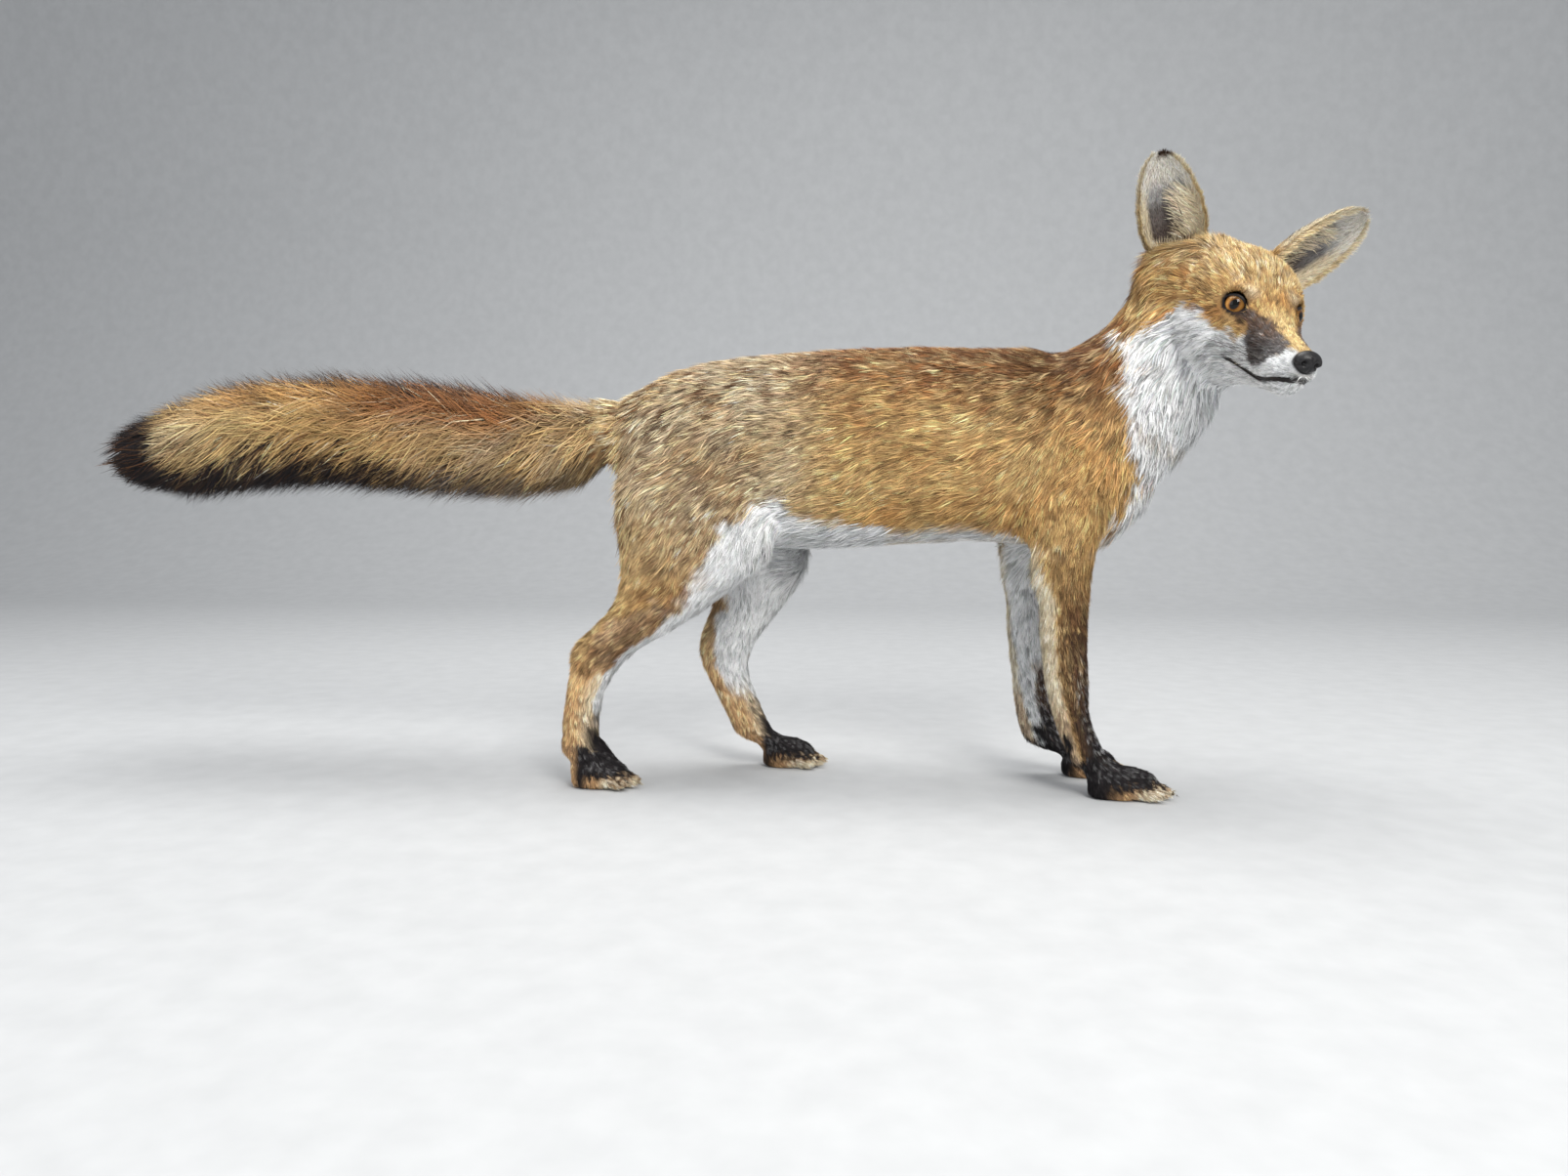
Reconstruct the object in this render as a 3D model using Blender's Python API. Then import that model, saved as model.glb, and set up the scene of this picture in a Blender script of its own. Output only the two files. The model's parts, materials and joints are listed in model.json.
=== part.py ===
"""A standing red fox, mounted life size: sleek coat, bushy tail held straight back, head turned to its right.

The fox faces +X, its left side is +Y and the floor is z = 0. Lengths are in metres, and in millimetres
inside the head's own frame, whose axes are forward, left and up. The body is lofted from stations, blended
into one form, and parted by thin cuts into the pieces a person would name. The brush of the tail carries
its locks one by one.
"""

import math
import random

import bmesh
import bpy
from mathutils import Matrix, Vector

GAP = 0.0003
MM = 0.001
BODY_VOXEL = 0.0042
FINE_VOXEL = 0.0019
BODY_TRIANGLES = 2500
FINE_TRIANGLES = 3900
EAR_SOLE = 0.006

# x, top, bottom, half width of the trunk from the rump to the front of the chest
TRUNK = (
    (-0.234, 0.328, 0.268, 0.018),
    (-0.215, 0.340, 0.240, 0.036),
    (-0.180, 0.3555, 0.220, 0.048),
    (-0.140, 0.3645, 0.208, 0.052),
    (-0.090, 0.3690, 0.203, 0.050),
    (-0.040, 0.3720, 0.203, 0.049),
    (0.030, 0.3730, 0.208, 0.052),
    (0.080, 0.3710, 0.210, 0.055),
    (0.130, 0.3695, 0.206, 0.054),
    (0.170, 0.3600, 0.204, 0.046),
    (0.200, 0.3440, 0.222, 0.036),
    (0.224, 0.3180, 0.258, 0.020),
)

# centre x, y, z, half depth in the plane of the fox, half width, from inside the shoulders to inside the head
NECK = (
    (0.100, 0.000, 0.284, 0.078, 0.044),
    (0.167, 0.000, 0.304, 0.069, 0.046),
    (0.209, -0.002, 0.337, 0.061, 0.044),
    (0.233, -0.006, 0.373, 0.053, 0.043),
    (0.246, -0.014, 0.408, 0.050, 0.044),
    (0.243, -0.019, 0.432, 0.046, 0.040),
    (0.241, -0.021, 0.450, 0.031, 0.030),
)

# centre x, y, z, half length, half width of level sections down each leg
LEGS = {
    "foreleg_right": (
        (0.150, -0.028, 0.300, 0.036, 0.018),
        (0.147, -0.036, 0.250, 0.039, 0.021),
        (0.1435, -0.038, 0.205, 0.0270, 0.0205),
        (0.1475, -0.038, 0.165, 0.0172, 0.0160),
        (0.1487, -0.0375, 0.125, 0.0150, 0.0142),
        (0.1505, -0.037, 0.095, 0.0142, 0.0138),
        (0.1555, -0.037, 0.066, 0.0115, 0.0125),
        (0.1650, -0.037, 0.042, 0.0130, 0.0138),
        (0.1770, -0.037, 0.022, 0.0150, 0.0140),
    ),
    "foreleg_left": (
        (0.140, 0.028, 0.300, 0.036, 0.018),
        (0.134, 0.036, 0.250, 0.039, 0.021),
        (0.1230, 0.038, 0.205, 0.0270, 0.0205),
        (0.1190, 0.038, 0.165, 0.0180, 0.0160),
        (0.1210, 0.038, 0.125, 0.0160, 0.0145),
        (0.1255, 0.038, 0.095, 0.0152, 0.0140),
        (0.1290, 0.038, 0.066, 0.0130, 0.0128),
        (0.1365, 0.038, 0.042, 0.0135, 0.0138),
        (0.1500, 0.038, 0.022, 0.0150, 0.0140),
    ),
    "hindleg_right": (
        (-0.152, -0.026, 0.300, 0.060, 0.022),
        (-0.163, -0.034, 0.250, 0.068, 0.026),
        (-0.1600, -0.040, 0.205, 0.0670, 0.0260),
        (-0.1710, -0.043, 0.180, 0.0540, 0.0235),
        (-0.1890, -0.045, 0.157, 0.0430, 0.0200),
        (-0.2110, -0.046, 0.1387, 0.0375, 0.0165),
        (-0.2400, -0.046, 0.118, 0.0270, 0.0138),
        (-0.2527, -0.046, 0.097, 0.0158, 0.0120),
        (-0.2610, -0.046, 0.0714, 0.0122, 0.0115),
        (-0.2615, -0.046, 0.046, 0.0135, 0.0125),
        (-0.2560, -0.046, 0.022, 0.0160, 0.0140),
    ),
    "hindleg_left": (
        (-0.145, 0.026, 0.300, 0.058, 0.022),
        (-0.148, 0.034, 0.250, 0.066, 0.026),
        (-0.1330, 0.041, 0.205, 0.0640, 0.0255),
        (-0.1190, 0.045, 0.180, 0.0460, 0.0220),
        (-0.1250, 0.047, 0.155, 0.0355, 0.0185),
        (-0.1345, 0.048, 0.137, 0.0310, 0.0160),
        (-0.1455, 0.048, 0.115, 0.0262, 0.0140),
        (-0.1480, 0.048, 0.094, 0.0205, 0.0125),
        (-0.1400, 0.048, 0.073, 0.0180, 0.0122),
        (-0.1280, 0.048, 0.046, 0.0170, 0.0130),
        (-0.1150, 0.048, 0.022, 0.0175, 0.0140),
    ),
}

# heel x, y, toe x, width, height over the knuckles of each paw
PAWS = {
    "foreleg_right": (0.157, -0.038, 0.2215, 0.036, 0.027),
    "foreleg_left": (0.141, 0.038, 0.1965, 0.036, 0.027),
    "hindleg_right": (-0.2760, -0.046, -0.2245, 0.034, 0.026),
    "hindleg_left": (-0.1290, 0.049, -0.0740, 0.035, 0.027),
}
# share of the paw's length and height to the middle of each form, then its radii as shares of its three sizes
PAW_FORMS = (
    ("pad", 0.40, 0.40, 0.36, 0.46, 0.56),
    ("instep", 0.50, 0.56, 0.32, 0.34, 0.46),
    ("heel", 0.20, 0.34, 0.19, 0.38, 0.46),
)
TOE_SPREAD = (-0.40, -0.14, 0.14, 0.40)
TOE_REACH = (0.84, 1.0, 1.0, 0.84)
CLAW_LENGTH = 0.0082

HEAD_ORIGIN = Vector((0.270, -0.028, 0.400))
HEAD_YAW = math.radians(-77)
HEAD_PITCH = math.radians(20)
HEAD_ROLL = math.radians(9)

# forward, half width, top, bottom of the head's sections, nape to nose, in millimetres
SKULL = (
    (-46, 26, 34, -50),
    (-32, 39, 44, -60),
    (-12, 45, 47.5, -64),
    (8, 48, 46.5, -64),
    (24, 48, 42.5, -61),
    (38, 43, 36.5, -57),
    (50, 36, 28.5, -53),
    (62, 29, 19, -50),
    (75, 25, 9, -48),
    (90, 20.5, 1.5, -46),
    (107, 17.5, -3.5, -44.5),
    (120, 14.5, -7, -41.5),
    (129, 11, -9, -36),
    (135, 5, -12, -29),
)
# forward, left, up and the three radii of the rounded forms on each side of the head
SIDE_FORMS = (
    (12, 30, -14, 44, 18, 32),
    (42, 27, -7, 18, 9, 9),
    (40, 18, 17, 16, 11, 8),
    (106, 11, -24, 20, 9, 12),
)
# centre and radii, in the ear's own frame, of the muscle at the foot of each ear
EAR_FOOT = ((-0.013, 0.0, -0.014), (0.018, 0.022, 0.022))
CHIN_FORM = (111, 0, -37, 15, 10.5, 7.5)
MOUTH_LINE = (
    (142, -25),
    (131, -26.5),
    (122, -29),
    (110, -33),
    (98, -35.5),
    (85, -34.5),
    (70, -32.5),
    (48, -31.5),
)
JAW_TUCK = 0.24
JAW_BACK = ((48, -31.5), (41, -45), (36, -80))
EYE_AT = (49.6, 22.2, 8.2)
EYE_RADIUS = 9.2
EYE_SLANT = math.radians(18)
EYE_TURN = math.radians(33)
LID_HALF = (8.7, 7.5)
LID_THICK = 2.1
NOSE_AT = (131.5, 0.0, -15.0)
NOSE_RADII = (7.5, 10.6, 8.2)
EAR_BASE = (-18, 41, 22)
EAR_HEIGHT = 0.088
EAR_HALF_WIDTH = 0.0256
EAR_CUP = 0.017
EAR_WALL = 0.0034
# lean outwards, lean back and turn of the opening outwards, in degrees
EAR_POSE = {"left": (42, 2, 20), "right": (26, 15, 16)}
# share of the height and share of the greatest half width
EAR_SHAPE = (
    (0.0, 0.64),
    (0.12, 0.84),
    (0.35, 1.0),
    (0.55, 0.93),
    (0.75, 0.70),
    (0.88, 0.46),
    (0.96, 0.26),
    (1.0, 0.10),
)

# x, height of the middle, half thickness of the brush with its hair
TAIL = (
    (-0.200, 0.306, 0.026),
    (-0.244, 0.3055, 0.0255),
    (-0.257, 0.2990, 0.0330),
    (-0.276, 0.2925, 0.0415),
    (-0.335, 0.2920, 0.0500),
    (-0.375, 0.2980, 0.0530),
    (-0.420, 0.3015, 0.0540),
    (-0.500, 0.3070, 0.0530),
    (-0.575, 0.3030, 0.0530),
    (-0.638, 0.2920, 0.0485),
    (-0.676, 0.2875, 0.0320),
    (-0.704, 0.2855, 0.0090),
)
TAIL_CUT = -0.268
TAIL_CORE_SHARE = 0.50
TAIL_CORE_END = -0.660
TAIL_FLARE = 0.020
COLLAR_LOCKS = 9
LOCKS = 56
LOCK_LENGTH = 0.092
LOCK_WIDTH = 0.044
LOCK_KEEL = 0.0030
# share of the length, of the width and of the keel at each ring of a lock
LOCK_RINGS = ((0.0, 0.60, 1.0), (0.36, 1.0, 1.0), (0.72, 0.80, 0.8), (1.0, 0.05, 0.2))

COLOURS = {
    "coat": ((0.52, 0.27, 0.09), 0.85),
    "pale_coat": ((0.78, 0.76, 0.70), 0.85),
    "dark_coat": ((0.05, 0.04, 0.04), 0.8),
    "eye": ((0.45, 0.20, 0.04), 0.08),
    "nose": ((0.02, 0.02, 0.022), 0.35),
}


def clear_scene():
    for obj in list(bpy.data.objects):
        bpy.data.objects.remove(obj)


def material(name):
    found = bpy.data.materials.get(name)
    if found:
        return found
    colour, roughness = COLOURS[name]
    made = bpy.data.materials.new(name)
    made.use_nodes = True
    shader = made.node_tree.nodes["Principled BSDF"]
    shader.inputs["Base Color"].default_value = (*colour, 1.0)
    shader.inputs["Roughness"].default_value = roughness
    shader.inputs["Metallic"].default_value = 0.0
    return made


def add_object(name, mesh):
    obj = bpy.data.objects.new(name, mesh)
    bpy.context.scene.collection.objects.link(obj)
    return obj


def mesh_object(name, points, faces):
    mesh = bpy.data.meshes.new(name)
    mesh.from_pydata([tuple(p) for p in points], [], faces)
    mesh.update()
    return add_object(name, mesh)


def smooth_value(stations, column, at):
    """A Catmull-Rom curve through one column of the stations, whose first column is the position."""
    order = stations if stations[0][0] < stations[-1][0] else tuple(reversed(stations))
    last = len(order) - 1
    at = min(max(at, order[0][0]), order[-1][0])
    i = next((k for k in range(last) if at <= order[k + 1][0]), last - 1)
    near = [order[min(max(k, 0), last)] for k in (i - 1, i, i + 1, i + 2)]
    t = (at - near[1][0]) / (near[2][0] - near[1][0])
    a, b, c, d = (row[column] for row in near)
    return b + 0.5 * t * (c - a + t * (2 * a - 5 * b + 4 * c - d + t * (3 * (b - c) + d - a)))


def resampled(stations, count):
    """The stations as count rows, evenly spaced along the list on Catmull-Rom curves."""
    last = len(stations) - 1
    rows = []
    for k in range(count):
        at = k * last / (count - 1)
        i = min(int(at), last - 1)
        t = at - i
        near = [stations[min(max(n, 0), last)] for n in (i - 1, i, i + 1, i + 2)]
        rows.append([
            b + 0.5 * t * (c - a + t * (2 * a - 5 * b + 4 * c - d + t * (3 * (b - c) + d - a)))
            for a, b, c, d in zip(*near)
        ])
    return rows


def section(centre, across, up, half_across, half_up, half_down, count=28, power=2.2, low_power=None):
    """One closed section: a rounded outline with its own height and fullness above and below the centre."""
    points = []
    for k in range(count):
        angle = 2 * math.pi * k / count
        c, s = math.cos(angle), math.sin(angle)
        reach, full = (half_up, power) if s > 0 else (half_down, low_power or power)
        x = half_across * math.copysign(abs(c) ** (2 / full), c)
        z = reach * math.copysign(abs(s) ** (2 / full), s)
        points.append(centre + across * x + up * z)
    return points


def loft(name, sections):
    """A closed skin over sections with the same number of points, its ends closed with a fan."""
    count = len(sections[0])
    points = [p for ring in sections for p in ring]
    faces = []
    for r in range(len(sections) - 1):
        for k in range(count):
            n = (k + 1) % count
            faces.append((r * count + k, r * count + n, (r + 1) * count + n, (r + 1) * count + k))
    for ring, turn in ((0, 1), (len(sections) - 1, -1)):
        points.append(sum(sections[ring], Vector()) / count)
        hub = len(points) - 1
        for k in range(count):
            pair = (ring * count + k, ring * count + (k + 1) % count)
            faces.append((hub, *(reversed(pair) if turn > 0 else pair)))
    obj = mesh_object(name, points, faces)
    face_outwards(obj)
    return obj


def face_outwards(obj):
    bm = bmesh.new()
    bm.from_mesh(obj.data)
    bmesh.ops.recalc_face_normals(bm, faces=bm.faces)
    bm.to_mesh(obj.data)
    bm.free()


def ellipsoid(name, centre, radii, turn=None, fineness=20):
    bm = bmesh.new()
    bmesh.ops.create_uvsphere(bm, u_segments=fineness, v_segments=fineness // 2, radius=1.0)
    place = Matrix.Translation(centre) @ (turn or Matrix()) @ Matrix.Diagonal((*radii, 1))
    bmesh.ops.transform(bm, matrix=place, verts=bm.verts)
    mesh = bpy.data.meshes.new(name)
    bm.to_mesh(mesh)
    bm.free()
    return add_object(name, mesh)


def apply_modifiers(obj):
    graph = bpy.context.evaluated_depsgraph_get()
    graph.update()
    made = bpy.data.meshes.new_from_object(obj.evaluated_get(graph))
    old = obj.data
    obj.modifiers.clear()
    obj.data = made
    bpy.data.meshes.remove(old)


def joined(name, objects):
    """One object with the meshes of all of them, which are then removed."""
    bm = bmesh.new()
    for obj in objects:
        bm.from_mesh(obj.data)
    mesh = bpy.data.meshes.new(name)
    bm.to_mesh(mesh)
    bm.free()
    for obj in objects:
        bpy.data.objects.remove(obj)
    return add_object(name, mesh)


def blended(name, objects, voxel, smoothing):
    """Overlapping closed forms grown into one skin, with the creases between them rounded."""
    obj = joined(name, objects)
    remesh = obj.modifiers.new("Remesh", "REMESH")
    remesh.mode = "VOXEL"
    remesh.voxel_size = voxel
    smooth = obj.modifiers.new("Smooth", "SMOOTH")
    smooth.factor = 0.5
    smooth.iterations = smoothing
    apply_modifiers(obj)
    return obj


def smooth_furred(obj, times):
    """Softens the joins of the furred body, and leaves the face and the paws as they are."""
    group = obj.vertex_groups.new(name="furred")
    head = head_matrix().inverted()
    for vert in obj.data.vertices:
        local = head @ vert.co
        face = min(max((local.x - 20) / 18, 0), 1) if local.length < 150 else 0
        low = min(max((0.026 - vert.co.z) / 0.008, 0), 1)
        group.add([vert.index], 1 - max(face, low), "REPLACE")
    modifier = obj.modifiers.new("Smooth", "SMOOTH")
    modifier.factor = 0.5
    modifier.iterations = times
    modifier.vertex_group = group.name
    apply_modifiers(obj)
    obj.vertex_groups.clear()


def boolean(obj, other, operation, solver="EXACT"):
    modifier = obj.modifiers.new("Boolean", "BOOLEAN")
    modifier.operation = operation
    modifier.solver = solver
    modifier.object = other
    apply_modifiers(obj)
    bpy.data.objects.remove(other)


def fused(obj, pieces):
    """obj with all the pieces made one body with it."""
    group = bpy.data.collections.new("pieces")
    for piece in pieces:
        group.objects.link(piece)
    modifier = obj.modifiers.new("Boolean", "BOOLEAN")
    modifier.operation = "UNION"
    modifier.solver = "MANIFOLD"
    modifier.operand_type = "COLLECTION"
    modifier.collection = group
    apply_modifiers(obj)
    for piece in pieces:
        bpy.data.objects.remove(piece)
    bpy.data.collections.remove(group)
    keep_largest(obj)


def loose_parts(bm):
    """Lists of faces, one for each connected surface."""
    seen = set()
    parts = []
    for start in bm.faces:
        if start in seen:
            continue
        seen.add(start)
        part, queue = [], [start]
        while queue:
            face = queue.pop()
            part.append(face)
            for edge in face.edges:
                for other in edge.link_faces:
                    if other not in seen:
                        seen.add(other)
                        queue.append(other)
        parts.append(part)
    return parts


def keep_largest(obj):
    bm = bmesh.new()
    bm.from_mesh(obj.data)
    parts = sorted(loose_parts(bm), key=lambda part: sum(f.calc_area() for f in part))
    for part in parts[:-1]:
        bmesh.ops.delete(bm, geom=part, context="FACES")
    bm.to_mesh(obj.data)
    bm.free()


def slab(name, outline, half_width, place=None):
    """A closed plate: an outline in the XZ plane carried across Y by half_width to each side, then placed."""
    points = [Vector((x, y, z)) for y in (-half_width, half_width) for x, z in outline]
    count = len(outline)
    faces = [tuple(range(count)), tuple(reversed(range(count, 2 * count)))]
    faces += [(k, k + count, (k + 1) % count + count, (k + 1) % count) for k in range(count)]
    obj = mesh_object(name, points, faces)
    if place:
        obj.data.transform(place)
    face_outwards(obj)
    return obj


def band(line, thick):
    """The outline of a strip of the given thickness that follows a line of (x, z) points."""
    sides = []
    for k, (x, z) in enumerate(line):
        (ax, az), (bx, bz) = line[max(k - 1, 0)], line[min(k + 1, len(line) - 1)]
        along = Vector((bx - ax, bz - az)).normalized()
        sides.append((Vector((x, z)), Vector((-along.y, along.x)) * thick / 2))
    return [tuple(p + n) for p, n in sides] + [tuple(p - n) for p, n in reversed(sides)]


def head_matrix():
    """From the head's own frame in millimetres to the fox's frame in metres."""
    forward = Vector((math.cos(HEAD_YAW) * math.cos(HEAD_PITCH), math.sin(HEAD_YAW) * math.cos(HEAD_PITCH),
                      -math.sin(HEAD_PITCH)))
    level = Vector((-math.sin(HEAD_YAW), math.cos(HEAD_YAW), 0))
    level_up = forward.cross(level)
    left = level * math.cos(HEAD_ROLL) - level_up * math.sin(HEAD_ROLL)
    up = forward.cross(left)
    turn = Matrix((forward, left, up)).transposed().to_4x4()
    return Matrix.Translation(HEAD_ORIGIN) @ turn @ Matrix.Scale(MM, 4)


def make_trunk():
    sections = []
    for x, top, bottom, half in resampled(TRUNK, 40):
        widest = bottom + 0.47 * (top - bottom)
        sections.append(section(Vector((x, 0, widest)), Vector((0, 1, 0)), Vector((0, 0, 1)), half,
                                top - widest, widest - bottom, 36, 2.15))
    chest = ellipsoid("chest_form", (0.178, 0, 0.278), (0.049, 0.037, 0.060))
    return [loft("trunk_form", sections), chest]


def make_neck():
    rows = resampled(NECK, 18)
    sections = []
    for k, (x, y, z, depth, half) in enumerate(rows):
        before, after = rows[max(k - 1, 0)], rows[min(k + 1, len(rows) - 1)]
        along = (Vector(after[:3]) - Vector(before[:3])).normalized()
        across = Vector((0, 1, 0))
        up = across.cross(along).normalized()
        sections.append(section(Vector((x, y, z)), across, up, half, depth, depth))
    return loft("neck_form", sections)


def make_leg(name):
    sections = [
        section(Vector((x, y, z)), Vector((1, 0, 0)), Vector((0, 1, 0)), length, width, width, 24, 2.1)
        for x, y, z, length, width in resampled(LEGS[name], 34)
    ]
    return loft(name + "_form", sections)


def paw_forms(name):
    """The pad and four toes of one paw, before they are blended."""
    heel, y, toe, width, height = PAWS[name]
    length = toe - heel
    forms = [
        ellipsoid(name, (heel + at * length, y, lift * height), (reach * length, broad * width, thick * height))
        for name, at, lift, reach, broad, thick in PAW_FORMS
    ]
    for spread, reach in zip(TOE_SPREAD, TOE_REACH):
        root = Vector((heel + 0.46 * length, y + spread * width * 0.62, 0.46 * height))
        tip = Vector((heel + 0.86 * reach * length, y + spread * width * 1.08, 0.26 * height))
        along = tip - root
        turn = along.to_track_quat("X", "Z").to_matrix().to_4x4()
        radii = (along.length * 0.66, 0.118 * width, 0.27 * height)
        forms.append(ellipsoid("toe", (root + tip) / 2, radii, turn))
        forms.append(ellipsoid("toe_end", tip, (0.125 * length, 0.116 * width, 0.25 * height)))
    return forms


def claw_forms(name):
    """Four short curved claws, each with its root well inside its toe."""
    heel, y, toe, width, height = PAWS[name]
    length = toe - heel
    claws = []
    for spread, reach in zip(TOE_SPREAD, TOE_REACH):
        tip = Vector((heel + 0.86 * reach * length, y + spread * width * 1.08, 0.30 * height))
        outwards = Vector((1, spread * 0.5, 0)).normalized()
        sections = []
        for k in range(4):
            t = k / 3
            along = -0.002 + CLAW_LENGTH * t + 0.110 * length
            drop = -0.0042 * t * t
            centre = tip + outwards * along + Vector((0, 0, drop))
            thick = 0.0021 * (1 - t) ** 0.7 + 0.0003
            sections.append(section(centre, outwards.cross(Vector((0, 0, 1))), Vector((0, 0, 1)), thick * 0.75,
                                    thick, thick, 5, 2))
        claws.append(loft("claw", sections))
    return claws


def make_head(place):
    sections = []
    for x, half, top, bottom in resampled(SKULL, 44):
        widest = bottom + 0.56 * (top - bottom)
        ring = section(Vector((x, 0, widest)), Vector((0, 1, 0)), Vector((0, 0, 1)), half,
                       top - widest, widest - bottom, 32, 2.35, 1.8)
        sections.append([tucked(point) for point in ring])
    forms = [loft("skull_form", sections), ellipsoid("chin_form", CHIN_FORM[:3], CHIN_FORM[3:])]
    for x, y, z, *radii in SIDE_FORMS:
        forms += [ellipsoid("side_form", (x, side * y, z), radii) for side in (-1, 1)]
    for form in forms:
        form.data.transform(place)
    for side in (-1, 1):
        foot = ellipsoid("ear_foot", *EAR_FOOT)
        foot.data.transform(ear_frame(side, place))
        forms.append(foot)
    return forms


def tucked(point):
    """A point of the skull's skin, drawn in where it lies below the mouth, so that the lips overhang the jaw."""
    line = smooth_value(MOUTH_LINE, 1, point.x)
    below = min(max((line - point.z) / 6, 0), 1)
    ahead = min(max((point.x - 40) / 14, 0), 1)
    return Vector((point.x, point.y * (1 - JAW_TUCK * below * ahead), point.z))


def eye_place(side, place):
    """The eye's own frame: origin at its middle, z out of the lids, in the fox's frame and metres."""
    x, y, z = EYE_AT
    turn = (Matrix.Rotation(side * EYE_TURN, 4, "Z") @ Matrix.Rotation(math.radians(84), 4, "Y")
            @ Matrix.Rotation(side * EYE_SLANT, 4, "Z"))
    return place @ Matrix.Translation((x, side * y, z)) @ turn


def lid_ring(side, place):
    """The rim of the lids: an almond ring with a round section that hugs the eyeball."""
    sections = []
    count = 26
    for k in range(count):
        angle = 2 * math.pi * k / count
        c, s = math.cos(angle), math.sin(angle)
        width, height = LID_HALF
        below = EYE_RADIUS ** 2 - (width * s) ** 2 - (height * c) ** 2
        lift = math.sqrt(max(below, 9.0)) + 0.2
        centre = Vector((height * c * (1 - 0.22 * s * s), width * s * 1.06, lift))
        out = Vector((c / height, s / width, 0)).normalized()
        thick = LID_THICK * (1.18 if c < 0 else 0.92)
        sections.append([
            centre + out * thick * math.cos(a) + Vector((0, 0, thick * math.sin(a)))
            for a in (2 * math.pi * j / 8 for j in range(8))
        ])
    points = [p for ring in sections for p in ring]
    faces = []
    for r in range(count):
        n = (r + 1) % count
        faces += [(r * 8 + j, r * 8 + (j + 1) % 8, n * 8 + (j + 1) % 8, n * 8 + j) for j in range(8)]
    obj = mesh_object("lid_form", points, faces)
    obj.data.transform(eye_place(side, place))
    face_outwards(obj)
    return obj


def eye_basin(side, place):
    """The shallow hollow in which the lids sit."""
    basin = ellipsoid("basin", (0, 0, 10.5), (7.6, 9.8, 5.4), None, 20)
    basin.data.transform(eye_place(side, place))
    return basin


def eyeball(name, side, place, more=0.0, fineness=16):
    radius = EYE_RADIUS + more / MM
    ball = ellipsoid(name, (0, 0, 0), (radius, radius, radius), None, fineness)
    ball.data.transform(eye_place(side, place))
    return ball


def nose_pad(name, place, more=0.0):
    """The bare leather of the nose, flat below and broad above."""
    bm = bmesh.new()
    bmesh.ops.create_uvsphere(bm, u_segments=16, v_segments=10, radius=1.0)
    for vert in bm.verts:
        x, y, z = vert.co
        pinch = 1 - 0.34 * max(-z, 0) ** 1.2
        vert.co = (
            NOSE_AT[0] + (NOSE_RADII[0] + more / MM) * x * (1 - 0.10 * abs(z)),
            (NOSE_RADII[1] + more / MM) * y * pinch,
            NOSE_AT[2] + (NOSE_RADII[2] + more / MM) * z,
        )
    mesh = bpy.data.meshes.new(name)
    bm.to_mesh(mesh)
    bm.free()
    obj = add_object(name, mesh)
    obj.data.transform(place)
    return obj


def nostril(side, place):
    """The round opening of one nostril with its slit towards the cheek."""
    x, _, z = NOSE_AT
    hole = ellipsoid("nostril", (x + 6.4, side * 4.6, z - 0.6), (4.2, 2.3, 2.5), None, 10)
    slit_turn = Matrix.Rotation(side * math.radians(-50), 4, "Z")
    slit = ellipsoid("slit", (x + 3.8, side * 8.2, z - 2.0), (1.2, 4.0, 1.1), slit_turn, 8)
    for obj in (hole, slit):
        obj.data.transform(place)
    return [hole, slit]


def ear_frame(side, place):
    """The ear's own frame in metres: z to the tip, x the way the cup opens, y towards the outer rim."""
    lean, back, opening = (math.radians(angle) for angle in EAR_POSE["left" if side > 0 else "right"])
    turn = (Matrix.Rotation(-side * lean, 4, "X") @ Matrix.Rotation(-back, 4, "Y")
            @ Matrix.Rotation(side * opening, 4, "Z"))
    x, y, z = EAR_BASE
    return place @ Matrix.Translation((x, side * y, z)) @ turn @ Matrix.Scale(1 / MM, 4)


def make_ear(name, side, place):
    """A cupped ear with a wall of one thickness, solid at its foot, open forwards."""
    rows, columns = 10, 8
    front, back = [], []
    for r in range(rows + 1):
        t = r / rows
        half = EAR_HALF_WIDTH * smooth_value(EAR_SHAPE, 1, t)
        depth = EAR_CUP * (1 - t) ** 0.8
        for c in range(columns + 1):
            s = 2 * c / columns - 1
            y = side * half * math.sin(s * math.pi / 2 * 0.97)
            bow = depth * (math.cos(s * math.pi / 2) ** 0.9 if abs(s) < 1 else 0.0)
            z = EAR_HEIGHT * t
            wall = EAR_WALL * (1 - 0.45 * t) * (1 - 0.35 * s * s)
            back.append(Vector((-bow - wall, y, z)))
            front.append(Vector((-bow + EAR_SOLE * max(0, 1 - t * 5) ** 2, y, z + 0.0005 * (1 - t))))
    return closed_sheet(name, front, back, rows + 1, columns + 1, ear_frame(side, place))


def closed_sheet(name, front, back, rows, columns, place):
    """Two matching grids of points joined round their rims into one closed wall, split into triangles alike."""
    count = rows * columns
    faces = []
    for r in range(rows - 1):
        for c in range(columns - 1):
            a = r * columns + c
            b, d, e = a + 1, a + columns, a + columns + 1
            faces += [(a, b, e), (a, e, d)]
            faces += [(a + count, e + count, b + count), (a + count, d + count, e + count)]
    rim = [(r, 0) for r in range(rows)] + [(rows - 1, c) for c in range(1, columns)]
    rim += [(r, columns - 1) for r in range(rows - 2, -1, -1)] + [(0, c) for c in range(columns - 2, 0, -1)]
    for (r0, c0), (r1, c1) in zip(rim, rim[1:] + rim[:1]):
        a, b = r0 * columns + c0, r1 * columns + c1
        faces.append((a, b, b + count, a + count))
    obj = mesh_object(name, [*front, *back], faces)
    obj.data.transform(place)
    face_outwards(obj)
    return obj


def tail_middle(x):
    return Vector((x, 0, smooth_value(TAIL, 1, x)))


def tail_half(x):
    return smooth_value(TAIL, 2, x)


def tail_section(x, share, count=20):
    half = tail_half(x) * share
    return section(tail_middle(x), Vector((0, 1, 0)), Vector((0, 0, 1)), half * 0.94, half, half, count, 2)


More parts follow.
